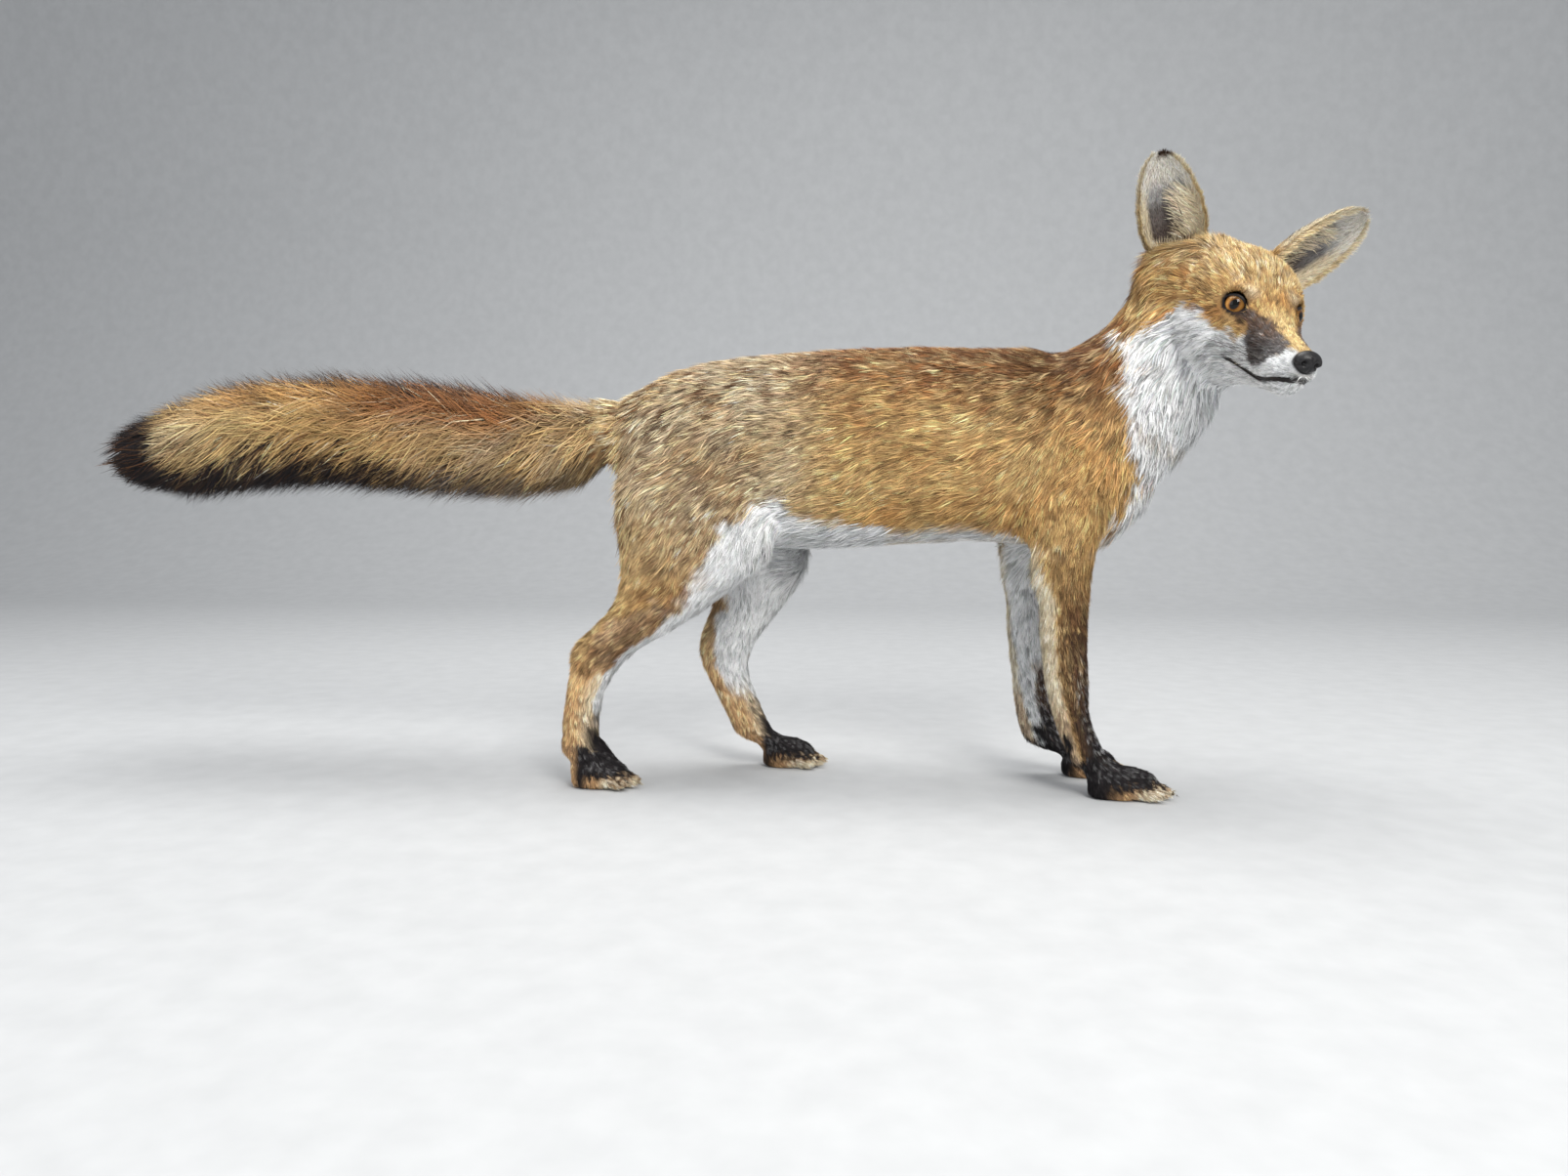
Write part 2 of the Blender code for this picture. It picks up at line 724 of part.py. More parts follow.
def make_tail_root():
    """The short furred root that leaves the rump."""
    steps = 8
    start, end = -0.205, TAIL_CUT - 0.012
    sections = [tail_section(start + (end - start) * k / steps, 1.0) for k in range(steps + 1)]
    return loft("tail_root_form", sections)


def core_share(x):
    """How much of the brush the core takes: all of it at the root, half of it further back."""
    back = (TAIL_CUT - x) / TAIL_FLARE
    return TAIL_CORE_SHARE + (1 - TAIL_CORE_SHARE) * max(0.0, 1 - back)


def make_tail():
    """The brush: a slim core, tapered to the tip, that carries the locks."""
    steps = 22
    start = TAIL_CUT - GAP
    sections = []
    for k in range(steps + 1):
        x = start + (TAIL_CORE_END - start) * k / steps
        close = math.sqrt(max(0.0, 1 - max(0.0, (k / steps - 0.86) / 0.14) ** 2))
        sections.append(tail_section(x, core_share(x) * max(close, 0.12)))
    core = loft("tail", sections)
    fused(core, tail_locks())
    return core


def tail_locks():
    """Flat tapered locks over the whole core: a row round its root, then a spread out to its tip."""
    draw = random.Random(7)
    first, last = TAIL_CUT - 0.002, TAIL_CORE_END + 0.006
    locks = [
        lock(first, 2 * math.pi * k / COLLAR_LOCKS, 0.064 * draw.uniform(0.85, 1.2), 0.0005, draw)
        for k in range(COLLAR_LOCKS)
    ]
    for k in range(LOCKS):
        t = (k + 1) / LOCKS
        x = first - 0.010 + (last - first + 0.010) * t + draw.uniform(-0.006, 0.006)
        angle = k * math.radians(137.508) + draw.uniform(-0.22, 0.22)
        length = LOCK_LENGTH * draw.uniform(0.85, 1.15)
        locks.append(lock(x, angle, min(length, x - TAIL[-1][0]), 0.006, draw))
    return locks


def lock(x, angle, length, sunk, draw):
    """One lock: rooted in the core at x, rising to the tail's outline and bending to lie along it."""
    swing = draw.uniform(-0.32, 0.32)
    reach = draw.uniform(0.96, 1.02)
    broad = draw.uniform(0.85, 1.12) * min(1.0, 0.35 + length / 0.10)
    root = tail_half(x) * core_share(x) - sunk
    rings = []
    for t, wide, keel in LOCK_RINGS:
        at = x - length * t
        full = tail_half(at) * reach
        rise = root + (full - root) * math.sin(t * math.pi / 2)
        turned = angle + swing * t * t
        out = Vector((0, math.sin(turned) * 0.96, math.cos(turned)))
        side = Vector((0, math.cos(turned), -math.sin(turned)))
        middle = Vector((at, 0, tail_middle(at).z)) + out * rise
        width = LOCK_WIDTH / 2 * wide * broad
        drop = width * width / (2 * max(rise, 0.012)) + LOCK_KEEL * keel
        rings.append([middle + side * width - out * drop, middle, middle - side * width - out * drop])
    return loft("lock", rings)


def level_cut(name, x_low, x_high, z):
    low, high = z - GAP / 2, z + GAP / 2
    return slab(name, [(x_low, low), (x_high, low), (x_high, high), (x_low, high)], 0.12)


def cut_slabs(place):
    """The thin plates that part the blended body where a person would name its pieces."""
    hips = [(-0.264, 0.298), (-0.056, 0.181)]
    between = [*hips, (-0.056, -0.01), (-0.30, -0.01), (-0.30, 0.298)]
    collar = [(0.140, 0.388), (0.268, 0.262)]
    nape_turn = Vector((0.62, -0.42, 0.66)).to_track_quat("Z", "X").to_matrix().to_4x4()
    nape = [(-0.085, -GAP / 2), (0.085, -GAP / 2), (0.085, GAP / 2), (-0.085, GAP / 2)]
    mouth = band(MOUTH_LINE, 1.2)
    jaw_back = band(JAW_BACK, 0.35)
    return [
        slab("hips_cut", band(hips, GAP), 0.12),
        slab("between_cut", [(x, z - GAP / 2) for x, z in between], GAP / 2),
        slab("collar_cut", band(collar, GAP), 0.12),
        slab("nape_cut", nape, 0.085, Matrix.Translation((0.234, -0.004, 0.379)) @ nape_turn),
        slab("tail_root_cut", band([(-0.2405, 0.256), (-0.2405, 0.37)], GAP), 0.06),
        slab("tail_end_cut", band([(TAIL_CUT, 0.22), (TAIL_CUT, 0.37)], GAP), 0.06),
        slab("mouth_cut", mouth, 60, place),
        slab("jaw_back_cut", jaw_back, 60, place),
        level_cut("elbow_cut", 0.08, 0.24, 0.199),
        level_cut("wrist_cut", 0.08, 0.24, 0.094),
        level_cut("fore_paw_cut", 0.08, 0.26, 0.034),
        level_cut("knee_cut", -0.30, -0.05, 0.166),
        level_cut("hock_cut", -0.30, -0.05, 0.103),
        level_cut("hind_paw_cut", -0.30, -0.05, 0.033),
    ]


def thinned(obj, fine, triangles):
    """Thins the fine region of the skin, or the rest of it, until the whole has that many triangles."""
    group = obj.vertex_groups.new(name="thin")
    head = head_matrix().inverted()
    for vert in obj.data.vertices:
        local = head @ vert.co
        if fine == (vert.co.z < 0.036 or (local.x > -25 and local.length < 150)):
            group.add([vert.index], 1.0, "REPLACE")
    count = sum(len(p.vertices) - 2 for p in obj.data.polygons)
    modifier = obj.modifiers.new("Decimate", "DECIMATE")
    modifier.ratio = triangles / count
    modifier.vertex_group = group.name
    apply_modifiers(obj)
    obj.vertex_groups.clear()


def reduce_triangles(obj):
    """Keeps more of the skin on the head and the paws, where the forms are small."""
    head = head_matrix().inverted()
    fine = 0
    for face in obj.data.polygons:
        local = head @ face.center
        if face.center.z < 0.036 or (local.x > -25 and local.length < 150):
            fine += len(face.vertices) - 2
    thinned(obj, False, fine + BODY_TRIANGLES)
    thinned(obj, True, BODY_TRIANGLES + FINE_TRIANGLES)


def flatten_soles(obj):
    """Cuts the soles level with the floor."""
    bm = bmesh.new()
    bm.from_mesh(obj.data)
    geometry = bm.verts[:] + bm.edges[:] + bm.faces[:]
    cut = bmesh.ops.bisect_plane(bm, geom=geometry, plane_co=(0, 0, 0), plane_no=(0, 0, 1), clear_inner=True)
    edges = [g for g in cut["geom_cut"] if isinstance(g, bmesh.types.BMEdge)]
    bmesh.ops.holes_fill(bm, edges=edges, sides=0)
    bmesh.ops.triangulate(bm, faces=[f for f in bm.faces if len(f.verts) > 3])
    bmesh.ops.recalc_face_normals(bm, faces=bm.faces)
    bm.to_mesh(obj.data)
    bm.free()


def piece_name(centre, place):
    """The name of a parted piece, from where its middle lies."""
    head = place.inverted() @ centre
    if head.x > 64 and head.z < -27 and abs(head.y) < 20:
        return "lower_jaw"
    if centre.z > 0.385 or (head.x > 0 and head.z > -30 and centre.z > 0.36):
        return "head"
    side = "left" if centre.y > 0 else "right"
    if centre.z > 0.22:
        if centre.x < -0.245:
            return "tail_root"
        return "neck" if centre.x > 0.18 else "torso"
    if centre.x > 0:
        levels, leg = ((0.034, "paw"), (0.094, "pastern"), (0.199, "forearm")), "foreleg"
    else:
        levels, leg = ((0.033, "paw"), (0.103, "hock"), (0.166, "shank"), (0.30, "thigh")), "hindleg"
    part = next(word for height, word in levels if centre.z < height)
    return f"{leg}_{side}_{part}"


def parted(obj, place):
    """Cuts the body with the slabs and returns its pieces by name, the largest where two share one."""
    for cutter in cut_slabs(place):
        boolean(obj, cutter, "DIFFERENCE")
    bm = bmesh.new()
    bm.from_mesh(obj.data)
    pieces = {}
    for part in sorted(loose_parts(bm), key=lambda faces: -sum(f.calc_area() for f in faces)):
        area = sum(f.calc_area() for f in part)
        centre = sum((f.calc_center_median() * f.calc_area() for f in part), Vector()) / area
        name = piece_name(centre, place)
        if name in pieces:
            continue
        index = {}
        points, faces = [], []
        for face in part:
            for vert in face.verts:
                if vert not in index:
                    index[vert] = len(points)
                    points.append(vert.co.copy())
            faces.append([index[v] for v in face.verts])
        pieces[name] = mesh_object(name, points, faces)
    bm.free()
    bpy.data.objects.remove(obj)
    return pieces


def inflated(obj, by):
    """A copy of obj whose surface stands out by the given distance."""
    copy = add_object("inflated", obj.data.copy())
    push = copy.modifiers.new("Displace", "DISPLACE")
    push.strength = by
    push.mid_level = 0.0
    apply_modifiers(copy)
    return copy


def finish_head(pieces, place):
    """Gives the head its lids, eye sockets, nose and ears, each meeting it with a thin gap."""
    head = pieces["head"]
    for side in (-1, 1):
        boolean(head, eye_basin(side, place), "DIFFERENCE", "MANIFOLD")
        boolean(head, lid_ring(side, place), "UNION", "MANIFOLD")
    for side in (-1, 1):
        boolean(head, eyeball("socket", side, place, GAP, 20), "DIFFERENCE", "MANIFOLD")
    boolean(head, nose_pad("nose_seat", place, GAP), "DIFFERENCE", "MANIFOLD")
    keep_largest(head)
    nose = nose_pad("nose", place)
    for side in (-1, 1):
        for cutter in nostril(side, place):
            boolean(nose, cutter, "DIFFERENCE")
    boolean(nose, inflated(pieces["lower_jaw"], GAP), "DIFFERENCE")
    keep_largest(nose)
    pieces["nose"] = nose
    for word, side in (("left", 1), ("right", -1)):
        pieces[f"eye_{word}"] = eyeball(f"eye_{word}", side, place)
        ear = make_ear(f"ear_{word}", side, place)
        boolean(ear, inflated(head, GAP), "DIFFERENCE")
        keep_largest(ear)
        pieces[f"ear_{word}"] = ear


def dress(pieces):
    """Materials and names of the finished pieces."""
    for name, obj in pieces.items():
        obj.name = name
        kind = "coat"
        if name.startswith("eye"):
            kind = "eye"
        elif name == "nose":
            kind = "nose"
        elif name.endswith("paw"):
            kind = "dark_coat"
        elif name == "lower_jaw":
            kind = "pale_coat"
        obj.data.materials.clear()
        obj.data.materials.append(material(kind))
        obj.data.shade_smooth()
        obj.data.set_sharp_from_angle(angle=math.radians(40))


def centre_on_floor(pieces):
    """Moves the whole fox so that the middle of its box's base is the origin."""
    corners = [v.co for obj in pieces.values() for v in obj.data.vertices]
    low = Vector(min(c[i] for c in corners) for i in range(3))
    high = Vector(max(c[i] for c in corners) for i in range(3))
    middle = (low + high) / 2
    for obj in pieces.values():
        obj.data.transform(Matrix.Translation((-middle.x, -middle.y, -low.z)))


def main():
    clear_scene()
    place = head_matrix()
    trunk = make_trunk() + [make_neck(), make_tail_root()] + [make_leg(name) for name in LEGS]
    body = blended("body", trunk, BODY_VOXEL, 9)
    head = blended("head_form", make_head(place), FINE_VOXEL, 5)
    paws = blended("paws", [form for name in PAWS for form in paw_forms(name)], FINE_VOXEL, 3)
    whole = blended("whole", [body, head, paws], FINE_VOXEL, 2)
    smooth_furred(whole, 28)
    reduce_triangles(whole)
    flatten_soles(whole)
    pieces = parted(whole, place)
    for name in PAWS:
        fused(pieces[f"{name}_paw"], claw_forms(name))
    finish_head(pieces, place)
    pieces["tail"] = make_tail()
    dress(pieces)
    centre_on_floor(pieces)


if __name__ == "__main__":
    main()
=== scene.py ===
"""Looks of a standing red fox mount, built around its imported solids.

The fox faces +X and turns its head to its right. Places are worked out in the fox's own frame, and in
millimetres inside the head's frame (forward, left, up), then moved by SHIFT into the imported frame.
"""

import json
import logging
import math
from collections.abc import Callable, Iterator
from contextlib import contextmanager
from dataclasses import dataclass, field, fields, replace
from enum import Enum

import bpy
import numpy as np
from mathutils import Matrix, Vector
from mathutils.bvhtree import BVHTree
from mathutils.kdtree import KDTree

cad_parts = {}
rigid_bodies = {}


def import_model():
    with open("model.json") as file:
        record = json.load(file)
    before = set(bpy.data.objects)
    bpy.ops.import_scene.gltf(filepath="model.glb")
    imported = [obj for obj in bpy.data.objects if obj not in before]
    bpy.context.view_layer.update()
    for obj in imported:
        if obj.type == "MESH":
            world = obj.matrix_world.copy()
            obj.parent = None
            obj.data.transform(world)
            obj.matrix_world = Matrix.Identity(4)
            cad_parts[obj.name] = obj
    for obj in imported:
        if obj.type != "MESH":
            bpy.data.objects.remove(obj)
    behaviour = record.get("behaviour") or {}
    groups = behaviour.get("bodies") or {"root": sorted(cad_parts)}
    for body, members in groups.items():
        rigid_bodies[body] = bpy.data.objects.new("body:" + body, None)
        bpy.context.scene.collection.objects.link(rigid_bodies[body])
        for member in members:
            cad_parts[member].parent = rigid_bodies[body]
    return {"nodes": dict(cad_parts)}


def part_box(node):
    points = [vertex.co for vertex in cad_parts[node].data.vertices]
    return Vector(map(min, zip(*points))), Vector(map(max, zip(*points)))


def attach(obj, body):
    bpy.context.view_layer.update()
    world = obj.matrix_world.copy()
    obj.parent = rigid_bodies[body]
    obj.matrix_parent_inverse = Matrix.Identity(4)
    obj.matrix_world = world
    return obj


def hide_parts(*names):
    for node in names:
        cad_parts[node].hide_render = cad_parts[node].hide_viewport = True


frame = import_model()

Array = np.ndarray
Object = bpy.types.Object
Socket = bpy.types.NodeSocket
Colour = tuple[float, float, float]
LOG = logging.getLogger("fox")
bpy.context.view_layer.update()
MM = 0.001
FLOOR_GAP = 0.0004  # how close hair comes to the floor, in metres
PATCH = 0.003  # the width of a tuft's patch on the hide's unwrap


class Side(Enum):
    """The two sides of the fox, as the sign of its left axis."""

    RIGHT = -1
    LEFT = 1


class Slot(Enum):
    """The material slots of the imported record."""

    COAT = "coat"
    PALE = "pale_coat"
    DARK = "dark_coat"
    EYE = "eye"
    NOSE = "nose"


def ramp(value: Array, low: float, high: float) -> Array:
    """A smooth step from 0 at low to 1 at high.

    Args:
        value: numbers to grade.
        low: where the step leaves 0.
        high: where it reaches 1, below low for a falling step.
    Returns:
        The graded numbers.
    """
    t = np.clip((value - low) / (high - low), 0, 1)
    return t * t * (3 - 2 * t)


def spot(*widths: Array) -> Array:
    """1 in the middle of a spot and less around it, by how many widths off places lie in each direction."""
    return np.exp(-sum(off ** 2 for off in widths))


def unit(vectors: Array) -> Array:
    """The vectors, each divided by its length."""
    return vectors / np.maximum(np.linalg.norm(vectors, axis=-1, keepdims=True), 1e-12)


def moved(matrix: Matrix, points: Array) -> Array:
    """The points under a 4 by 4 matrix."""
    m = np.array(matrix)
    return points @ m[:3, :3].T + m[:3, 3]


def read(table: tuple, at: Array, column: int = 1) -> Array:
    """A column of a table, read between its rows at places along its first column."""
    rows = np.array(table, float)
    return np.interp(at, rows[:, 0], rows[:, column])


def flat_on(vectors: Array, normals: Array) -> Array:
    """The vectors without their share along the normals."""
    return vectors - normals * (vectors * normals).sum(axis=-1, keepdims=True)


@dataclass(frozen=True)
class Ripple:
    """Smooth seeded variation over space, mostly from -1 to 1.

    Args:
        size: the width of a ripple in metres.
        seed: the seed of its waves.
        waves: how many waves add up.
    """

    size: float
    seed: int
    waves: int = 9

    def at(self, points: Array) -> Array:
        """The variation at each point."""
        draw = np.random.default_rng(self.seed)
        heading = unit(draw.normal(size=(self.waves, 3)))
        pace = 2 * np.pi / self.size * draw.uniform(0.5, 1.7, (self.waves, 1))
        phase = draw.uniform(0, 2 * np.pi, self.waves)
        total = np.sin(points @ (heading * pace).T + phase).sum(axis=1)
        return np.clip(total / math.sqrt(self.waves), -1.5, 1.5)


@dataclass(frozen=True)
class HeadFrame:
    """Where the head sits and how it is turned, with the frames of its eyes and ears."""

    origin: tuple[float, float, float] = (0.27, -0.028, 0.4)
    yaw: float = math.radians(-77)
    pitch: float = math.radians(20)
    roll: float = math.radians(9)
    eye_at: tuple[float, float, float] = (49.6, 22.2, 8.2)
    far_eye: tuple[float, float] = (1.5, 0.8)
    eye_radius: float = 9.2
    eye_slant: float = math.radians(18)
    eye_turn: float = math.radians(33)
    ear_at: tuple[float, float, float] = (-18, 41, 22)
    ear_left: tuple[float, float, float] = (42, 2, 20)
    ear_right: tuple[float, float, float] = (26, 15, 16)

    def matrix(self) -> Matrix:
        """From the head's frame in millimetres to the fox's frame in metres."""
        cy, sy = math.cos(self.yaw), math.sin(self.yaw)
        forward = Vector((cy * math.cos(self.pitch), sy * math.cos(self.pitch), -math.sin(self.pitch)))
        level = Vector((-sy, cy, 0))
        level_up = forward.cross(level)
        left = level * math.cos(self.roll) - level_up * math.sin(self.roll)
        up = forward.cross(left)
        turn = Matrix((forward, left, up)).transposed().to_4x4()
        return Matrix.Translation(self.origin) @ turn @ Matrix.Scale(MM, 4)

    def eye(self, side: Side, drop: float = 2.4) -> Matrix:
        """The eye's frame in millimetres: x down, z out of the lids, its middle set lower by drop."""
        x, y, z = self.eye_at
        if side is Side.LEFT and drop:
            x, y = x + self.far_eye[0], y + self.far_eye[1]
        turn = (Matrix.Rotation(side.value * self.eye_turn, 4, "Z") @ Matrix.Rotation(math.radians(84), 4, "Y")
                @ Matrix.Rotation(side.value * self.eye_slant, 4, "Z"))
        return self.matrix() @ Matrix.Translation((x, side.value * y, z - drop)) @ turn

    def ear(self, side: Side) -> Matrix:
        """The ear's frame in metres: z to the tip, x the way the cup opens."""
        pose = self.ear_left if side is Side.LEFT else self.ear_right
        lean, back, opening = (math.radians(angle) for angle in pose)
        turn = (Matrix.Rotation(-side.value * lean, 4, "X") @ Matrix.Rotation(-back, 4, "Y")
                @ Matrix.Rotation(side.value * opening, 4, "Z"))
        x, y, z = self.ear_at
        return self.matrix() @ Matrix.Translation((x, side.value * y, z)) @ turn @ Matrix.Scale(1 / MM, 4)

    def local(self, points: Array) -> Array:
        """Points of the fox's frame in the head's frame, in millimetres."""
        return moved(self.matrix().inverted(), points)


HEAD = HeadFrame()


def packed_shift() -> Vector:
    """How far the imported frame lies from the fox's own, read from the two eyes."""
    total = Vector()
    for side, node in ((Side.RIGHT, "eye_right"), (Side.LEFT, "eye_left")):
        low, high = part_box(node)
        total += (low + high) / 2 - HEAD.eye(side, 0.0).translation
    return total / 2


SHIFT = packed_shift()


@dataclass(frozen=True)
class Brush:
    """The outline of the tail: x, height of the middle and half thickness with its hair."""

    stations: tuple = (
        (-0.704, 0.2855, 0.009), (-0.676, 0.2875, 0.032), (-0.638, 0.292, 0.0485),
        (-0.575, 0.303, 0.053), (-0.5, 0.307, 0.053), (-0.42, 0.3015, 0.054),
        (-0.375, 0.298, 0.053), (-0.335, 0.292, 0.05), (-0.276, 0.2925, 0.0415),
        (-0.257, 0.299, 0.033), (-0.244, 0.3055, 0.0255), (-0.2, 0.306, 0.026),
    )
    core: tuple = ((-0.664, 0.012), (-0.6, 0.0215), (-0.45, 0.0265), (-0.3, 0.026), (-0.25, 0.0245),
                   (-0.2, 0.0235))
    bare: float = -0.249
    end: float = -0.664

    def middle(self, x: Array) -> Array:
        """The height of the tail's middle at x."""
        return read(self.stations, x)

    def half(self, x: Array) -> Array:
        """Half the thickness of the tail, hair and all, at x."""
        return read(self.stations, x, 2)

    def inner(self, x: Array) -> Array:
        """The radius of the core under the brush at x."""
        return read(self.core, x)

    def slimmed(self, points: Array) -> Array:
        """Points near the root of the tail drawn in to the core."""
        x, middle = points[:, 0], self.middle(points[:, 0])
        far = np.hypot(points[:, 1], points[:, 2] - middle)
        most = self.inner(x) + ramp(x, -0.254, -0.226) * 0.2
        scale = 1 - (1 - np.minimum(1, most / np.maximum(far, 1e-6))) * ramp(points[:, 2], 0.232, 0.25)
        return np.stack((x, points[:, 1] * scale, middle + (points[:, 2] - middle) * scale), axis=1)


TAIL = Brush()

# x, y, z down the middle of each leg, in millimetres
LEG_LINES = {
    "foreleg_right": ((148, -30, 235), (143, -38, 205), (148, -38, 165), (149, -37, 125), (151, -37, 95),
                      (156, -37, 66), (165, -37, 42), (177, -37, 20)),
    "foreleg_left": ((136, 30, 235), (123, 38, 205), (119, 38, 165), (121, 38, 125), (126, 38, 95),
                     (129, 38, 66), (137, 38, 42), (150, 38, 20)),
    "hindleg_right": ((-158, -38, 210), (-171, -43, 180), (-189, -45, 157), (-211, -46, 139), (-240, -46, 118),
                      (-253, -46, 97), (-261, -46, 71), (-262, -46, 46), (-256, -46, 20)),
    "hindleg_left": ((-133, 38, 210), (-119, 45, 180), (-125, 47, 155), (-135, 48, 137), (-146, 48, 115),
                     (-148, 48, 94), (-140, 48, 73), (-128, 48, 46), (-115, 48, 20)),
}
# height and half the depth of the legs, in millimetres
LEG_DEPTH = {
    "fore": ((20, 15), (42, 13), (66, 11.5), (95, 14.2), (125, 15), (165, 17.2), (205, 27), (235, 34)),
    "hind": ((20, 15), (46, 13.5), (71, 12.2), (97, 15.8), (118, 27), (139, 37.5), (157, 43), (180, 54),
             (205, 67)),
}
# heel x, y, toe x, width, height of each paw, in metres
PAWS = {
    "foreleg_right": (0.157, -0.038, 0.2215, 0.036, 0.027),
    "foreleg_left": (0.141, 0.038, 0.1965, 0.036, 0.027),
    "hindleg_right": (-0.276, -0.046, -0.2245, 0.034, 0.026),
    "hindleg_left": (-0.129, 0.049, -0.074, 0.035, 0.027),
}
# where the clefts between the toes run, in shares of the paw's width
TOE_GAPS = (-0.27, 0.0, 0.27)
# how far the heel and the toes of each paw reach ahead of their solids, in millimetres
PAW_MOVE = {"foreleg_right": (7, 12), "foreleg_left": (12, 14), "hindleg_right": (7, 14),
            "hindleg_left": (13, 16)}
# height, then how far the coat fills each leg out behind and in front, in millimetres
LEG_FULL = {
    "foreleg_right": ((10, 1, 0), (20, 7, 0), (32, 9, 0), (45, 8, 0), (95, 8, 1), (150, 9, 0), (185, 7, 0),
                      (212, 0, 0)),
    "foreleg_left": ((10, 1, 0), (20, 6, 0), (32, 9, 2), (60, 6, 3), (95, 3, 3), (150, 0, 2), (190, 0, 0)),
    "hindleg_right": ((10, 1, 0), (20, 6, 0), (34, 4, 2), (48, 1, 5), (75, 0, 8), (105, 0, 8), (125, 0, 4),
                      (150, 0, 0)),
    "hindleg_left": ((10, 1, 0), (20, 6, 0), (34, 6, 0), (50, 5, 0), (80, 5, 0), (110, 4, 0), (140, 2, 0),
                     (160, 0, 0)),
}
# height, then length and lift of the hair on the legs, in millimetres and degrees
LEG_HAIR = ((20, 4.5, 12), (46, 6.5, 14), (95, 8.0, 14), (140, 9.5, 15), (180, 11.5, 14), (235, 14, 14))

# x, y, z in millimetres of the fox's frame, the way the hair lies, reach, length and lift
BODY_LIE = (
    (160, 0, 360, -1, 0, -0.05, 45, 15.8, 14),
    (90, 0, 371, -1, 0, 0, 50, 15.8, 13),
    (10, 0, 372, -1, 0, 0, 50, 15.8, 13),
    (-80, 0, 369, -1, 0, -0.05, 50, 15.8, 13),
    (-160, 0, 360, -1, 0, -0.2, 45, 17.2, 14),
    (-215, 0, 336, -0.9, 0, -0.6, 35, 18.5, 16),
    (60, 48, 335, -1, 0, -0.2, 45, 15.8, 13),
    (-30, 48, 335, -1, 0, -0.2, 45, 15.8, 13),
    (-100, 48, 335, -1, 0, -0.28, 45, 15.8, 13),
    (60, 52, 285, -1, 0, -0.28, 42, 15.8, 13),
    (-20, 50, 285, -1, 0, -0.3, 42, 15.8, 13),
    (-80, 50, 285, -1, 0, -0.32, 42, 15.8, 13),
    (55, 42, 232, -1, 0, -0.3, 38, 15.8, 13),
    (-10, 40, 230, -1, 0, -0.25, 38, 15.8, 13),
    (-70, 42, 235, -1, 0, -0.25, 38, 15.8, 13),
    (80, 0, 206, -1, 0, -0.02, 40, 15.8, 13),
    (0, 0, 204, -1, 0, 0, 40, 15.8, 13),
    (-80, 0, 202, -1, 0, 0.05, 40, 14.5, 13),
    (150, 44, 345, -0.8, 0, -0.6, 35, 15.8, 14),
    (115, 50, 320, -0.85, 0, -0.5, 35, 15.8, 14),
    (130, 47, 275, -0.55, 0, -0.8, 35, 14.5, 14),
    (140, 44, 235, -0.25, 0, -1, 32, 13.2, 13),
    (110, 40, 215, -0.6, 0, -0.8, 30, 14.5, 13),
    (-140, 50, 320, -0.9, 0, -0.45, 38, 16.5, 14),
    (-150, 54, 275, -0.75, 0, -0.65, 36, 15.8, 14),
    (-185, 50, 290, -0.8, 0, -0.6, 34, 17.2, 15),
    (-215, 36, 290, -0.6, 0, -0.8, 32, 18.5, 16),
    (-175, 54, 225, -0.55, 0, -0.85, 34, 14.5, 13),
    (-225, 38, 235, -0.45, 0, -0.9, 30, 15.8, 15),
    (-130, 52, 215, -0.45, 0, -0.9, 30, 13.2, 13),
    (-100, 44, 225, -0.7, 0, -0.7, 28, 15.8, 14),
    (-230, 0, 240, -0.1, 0, -1, 30, 14.5, 14),
    (-245, 22, 305, -1, 0, -0.15, 26, 19.8, 17),
    (-250, 0, 330, -1, 0, 0, 26, 19.8, 17),
    (-250, 0, 280, -1, 0, -0.2, 26, 19.8, 17),
    (170, 0, 378, -0.85, 0, -0.5, 35, 16.5, 15),
    (200, -4, 400, -0.6, 0, -0.8, 32, 16.5, 16),
    (222, -12, 435, -0.45, 0, -0.9, 30, 14.5, 16),
    (185, 46, 335, -0.6, 0, -0.8, 34, 17.2, 16),
    (205, 44, 370, -0.4, 0, -0.9, 32, 17.8, 17),
    (215, 42, 330, -0.2, 0, -1, 32, 18.5, 19),
    (240, 0, 330, 0.15, 0, -1, 35, 18.5, 20),
    (222, 0, 285, -0.2, 0, -1, 34, 18.5, 20),
    (200, 0, 235, -0.6, 0, -0.8, 30, 17.2, 18),
    (195, 30, 265, -0.4, 0, -0.9, 30, 17.2, 17),
    (165, 0, 205, -1, 0, -0.3, 35, 15.8, 14),
    (262, -20, 365, 0.1, 0, -1, 30, 17.2, 18),
)
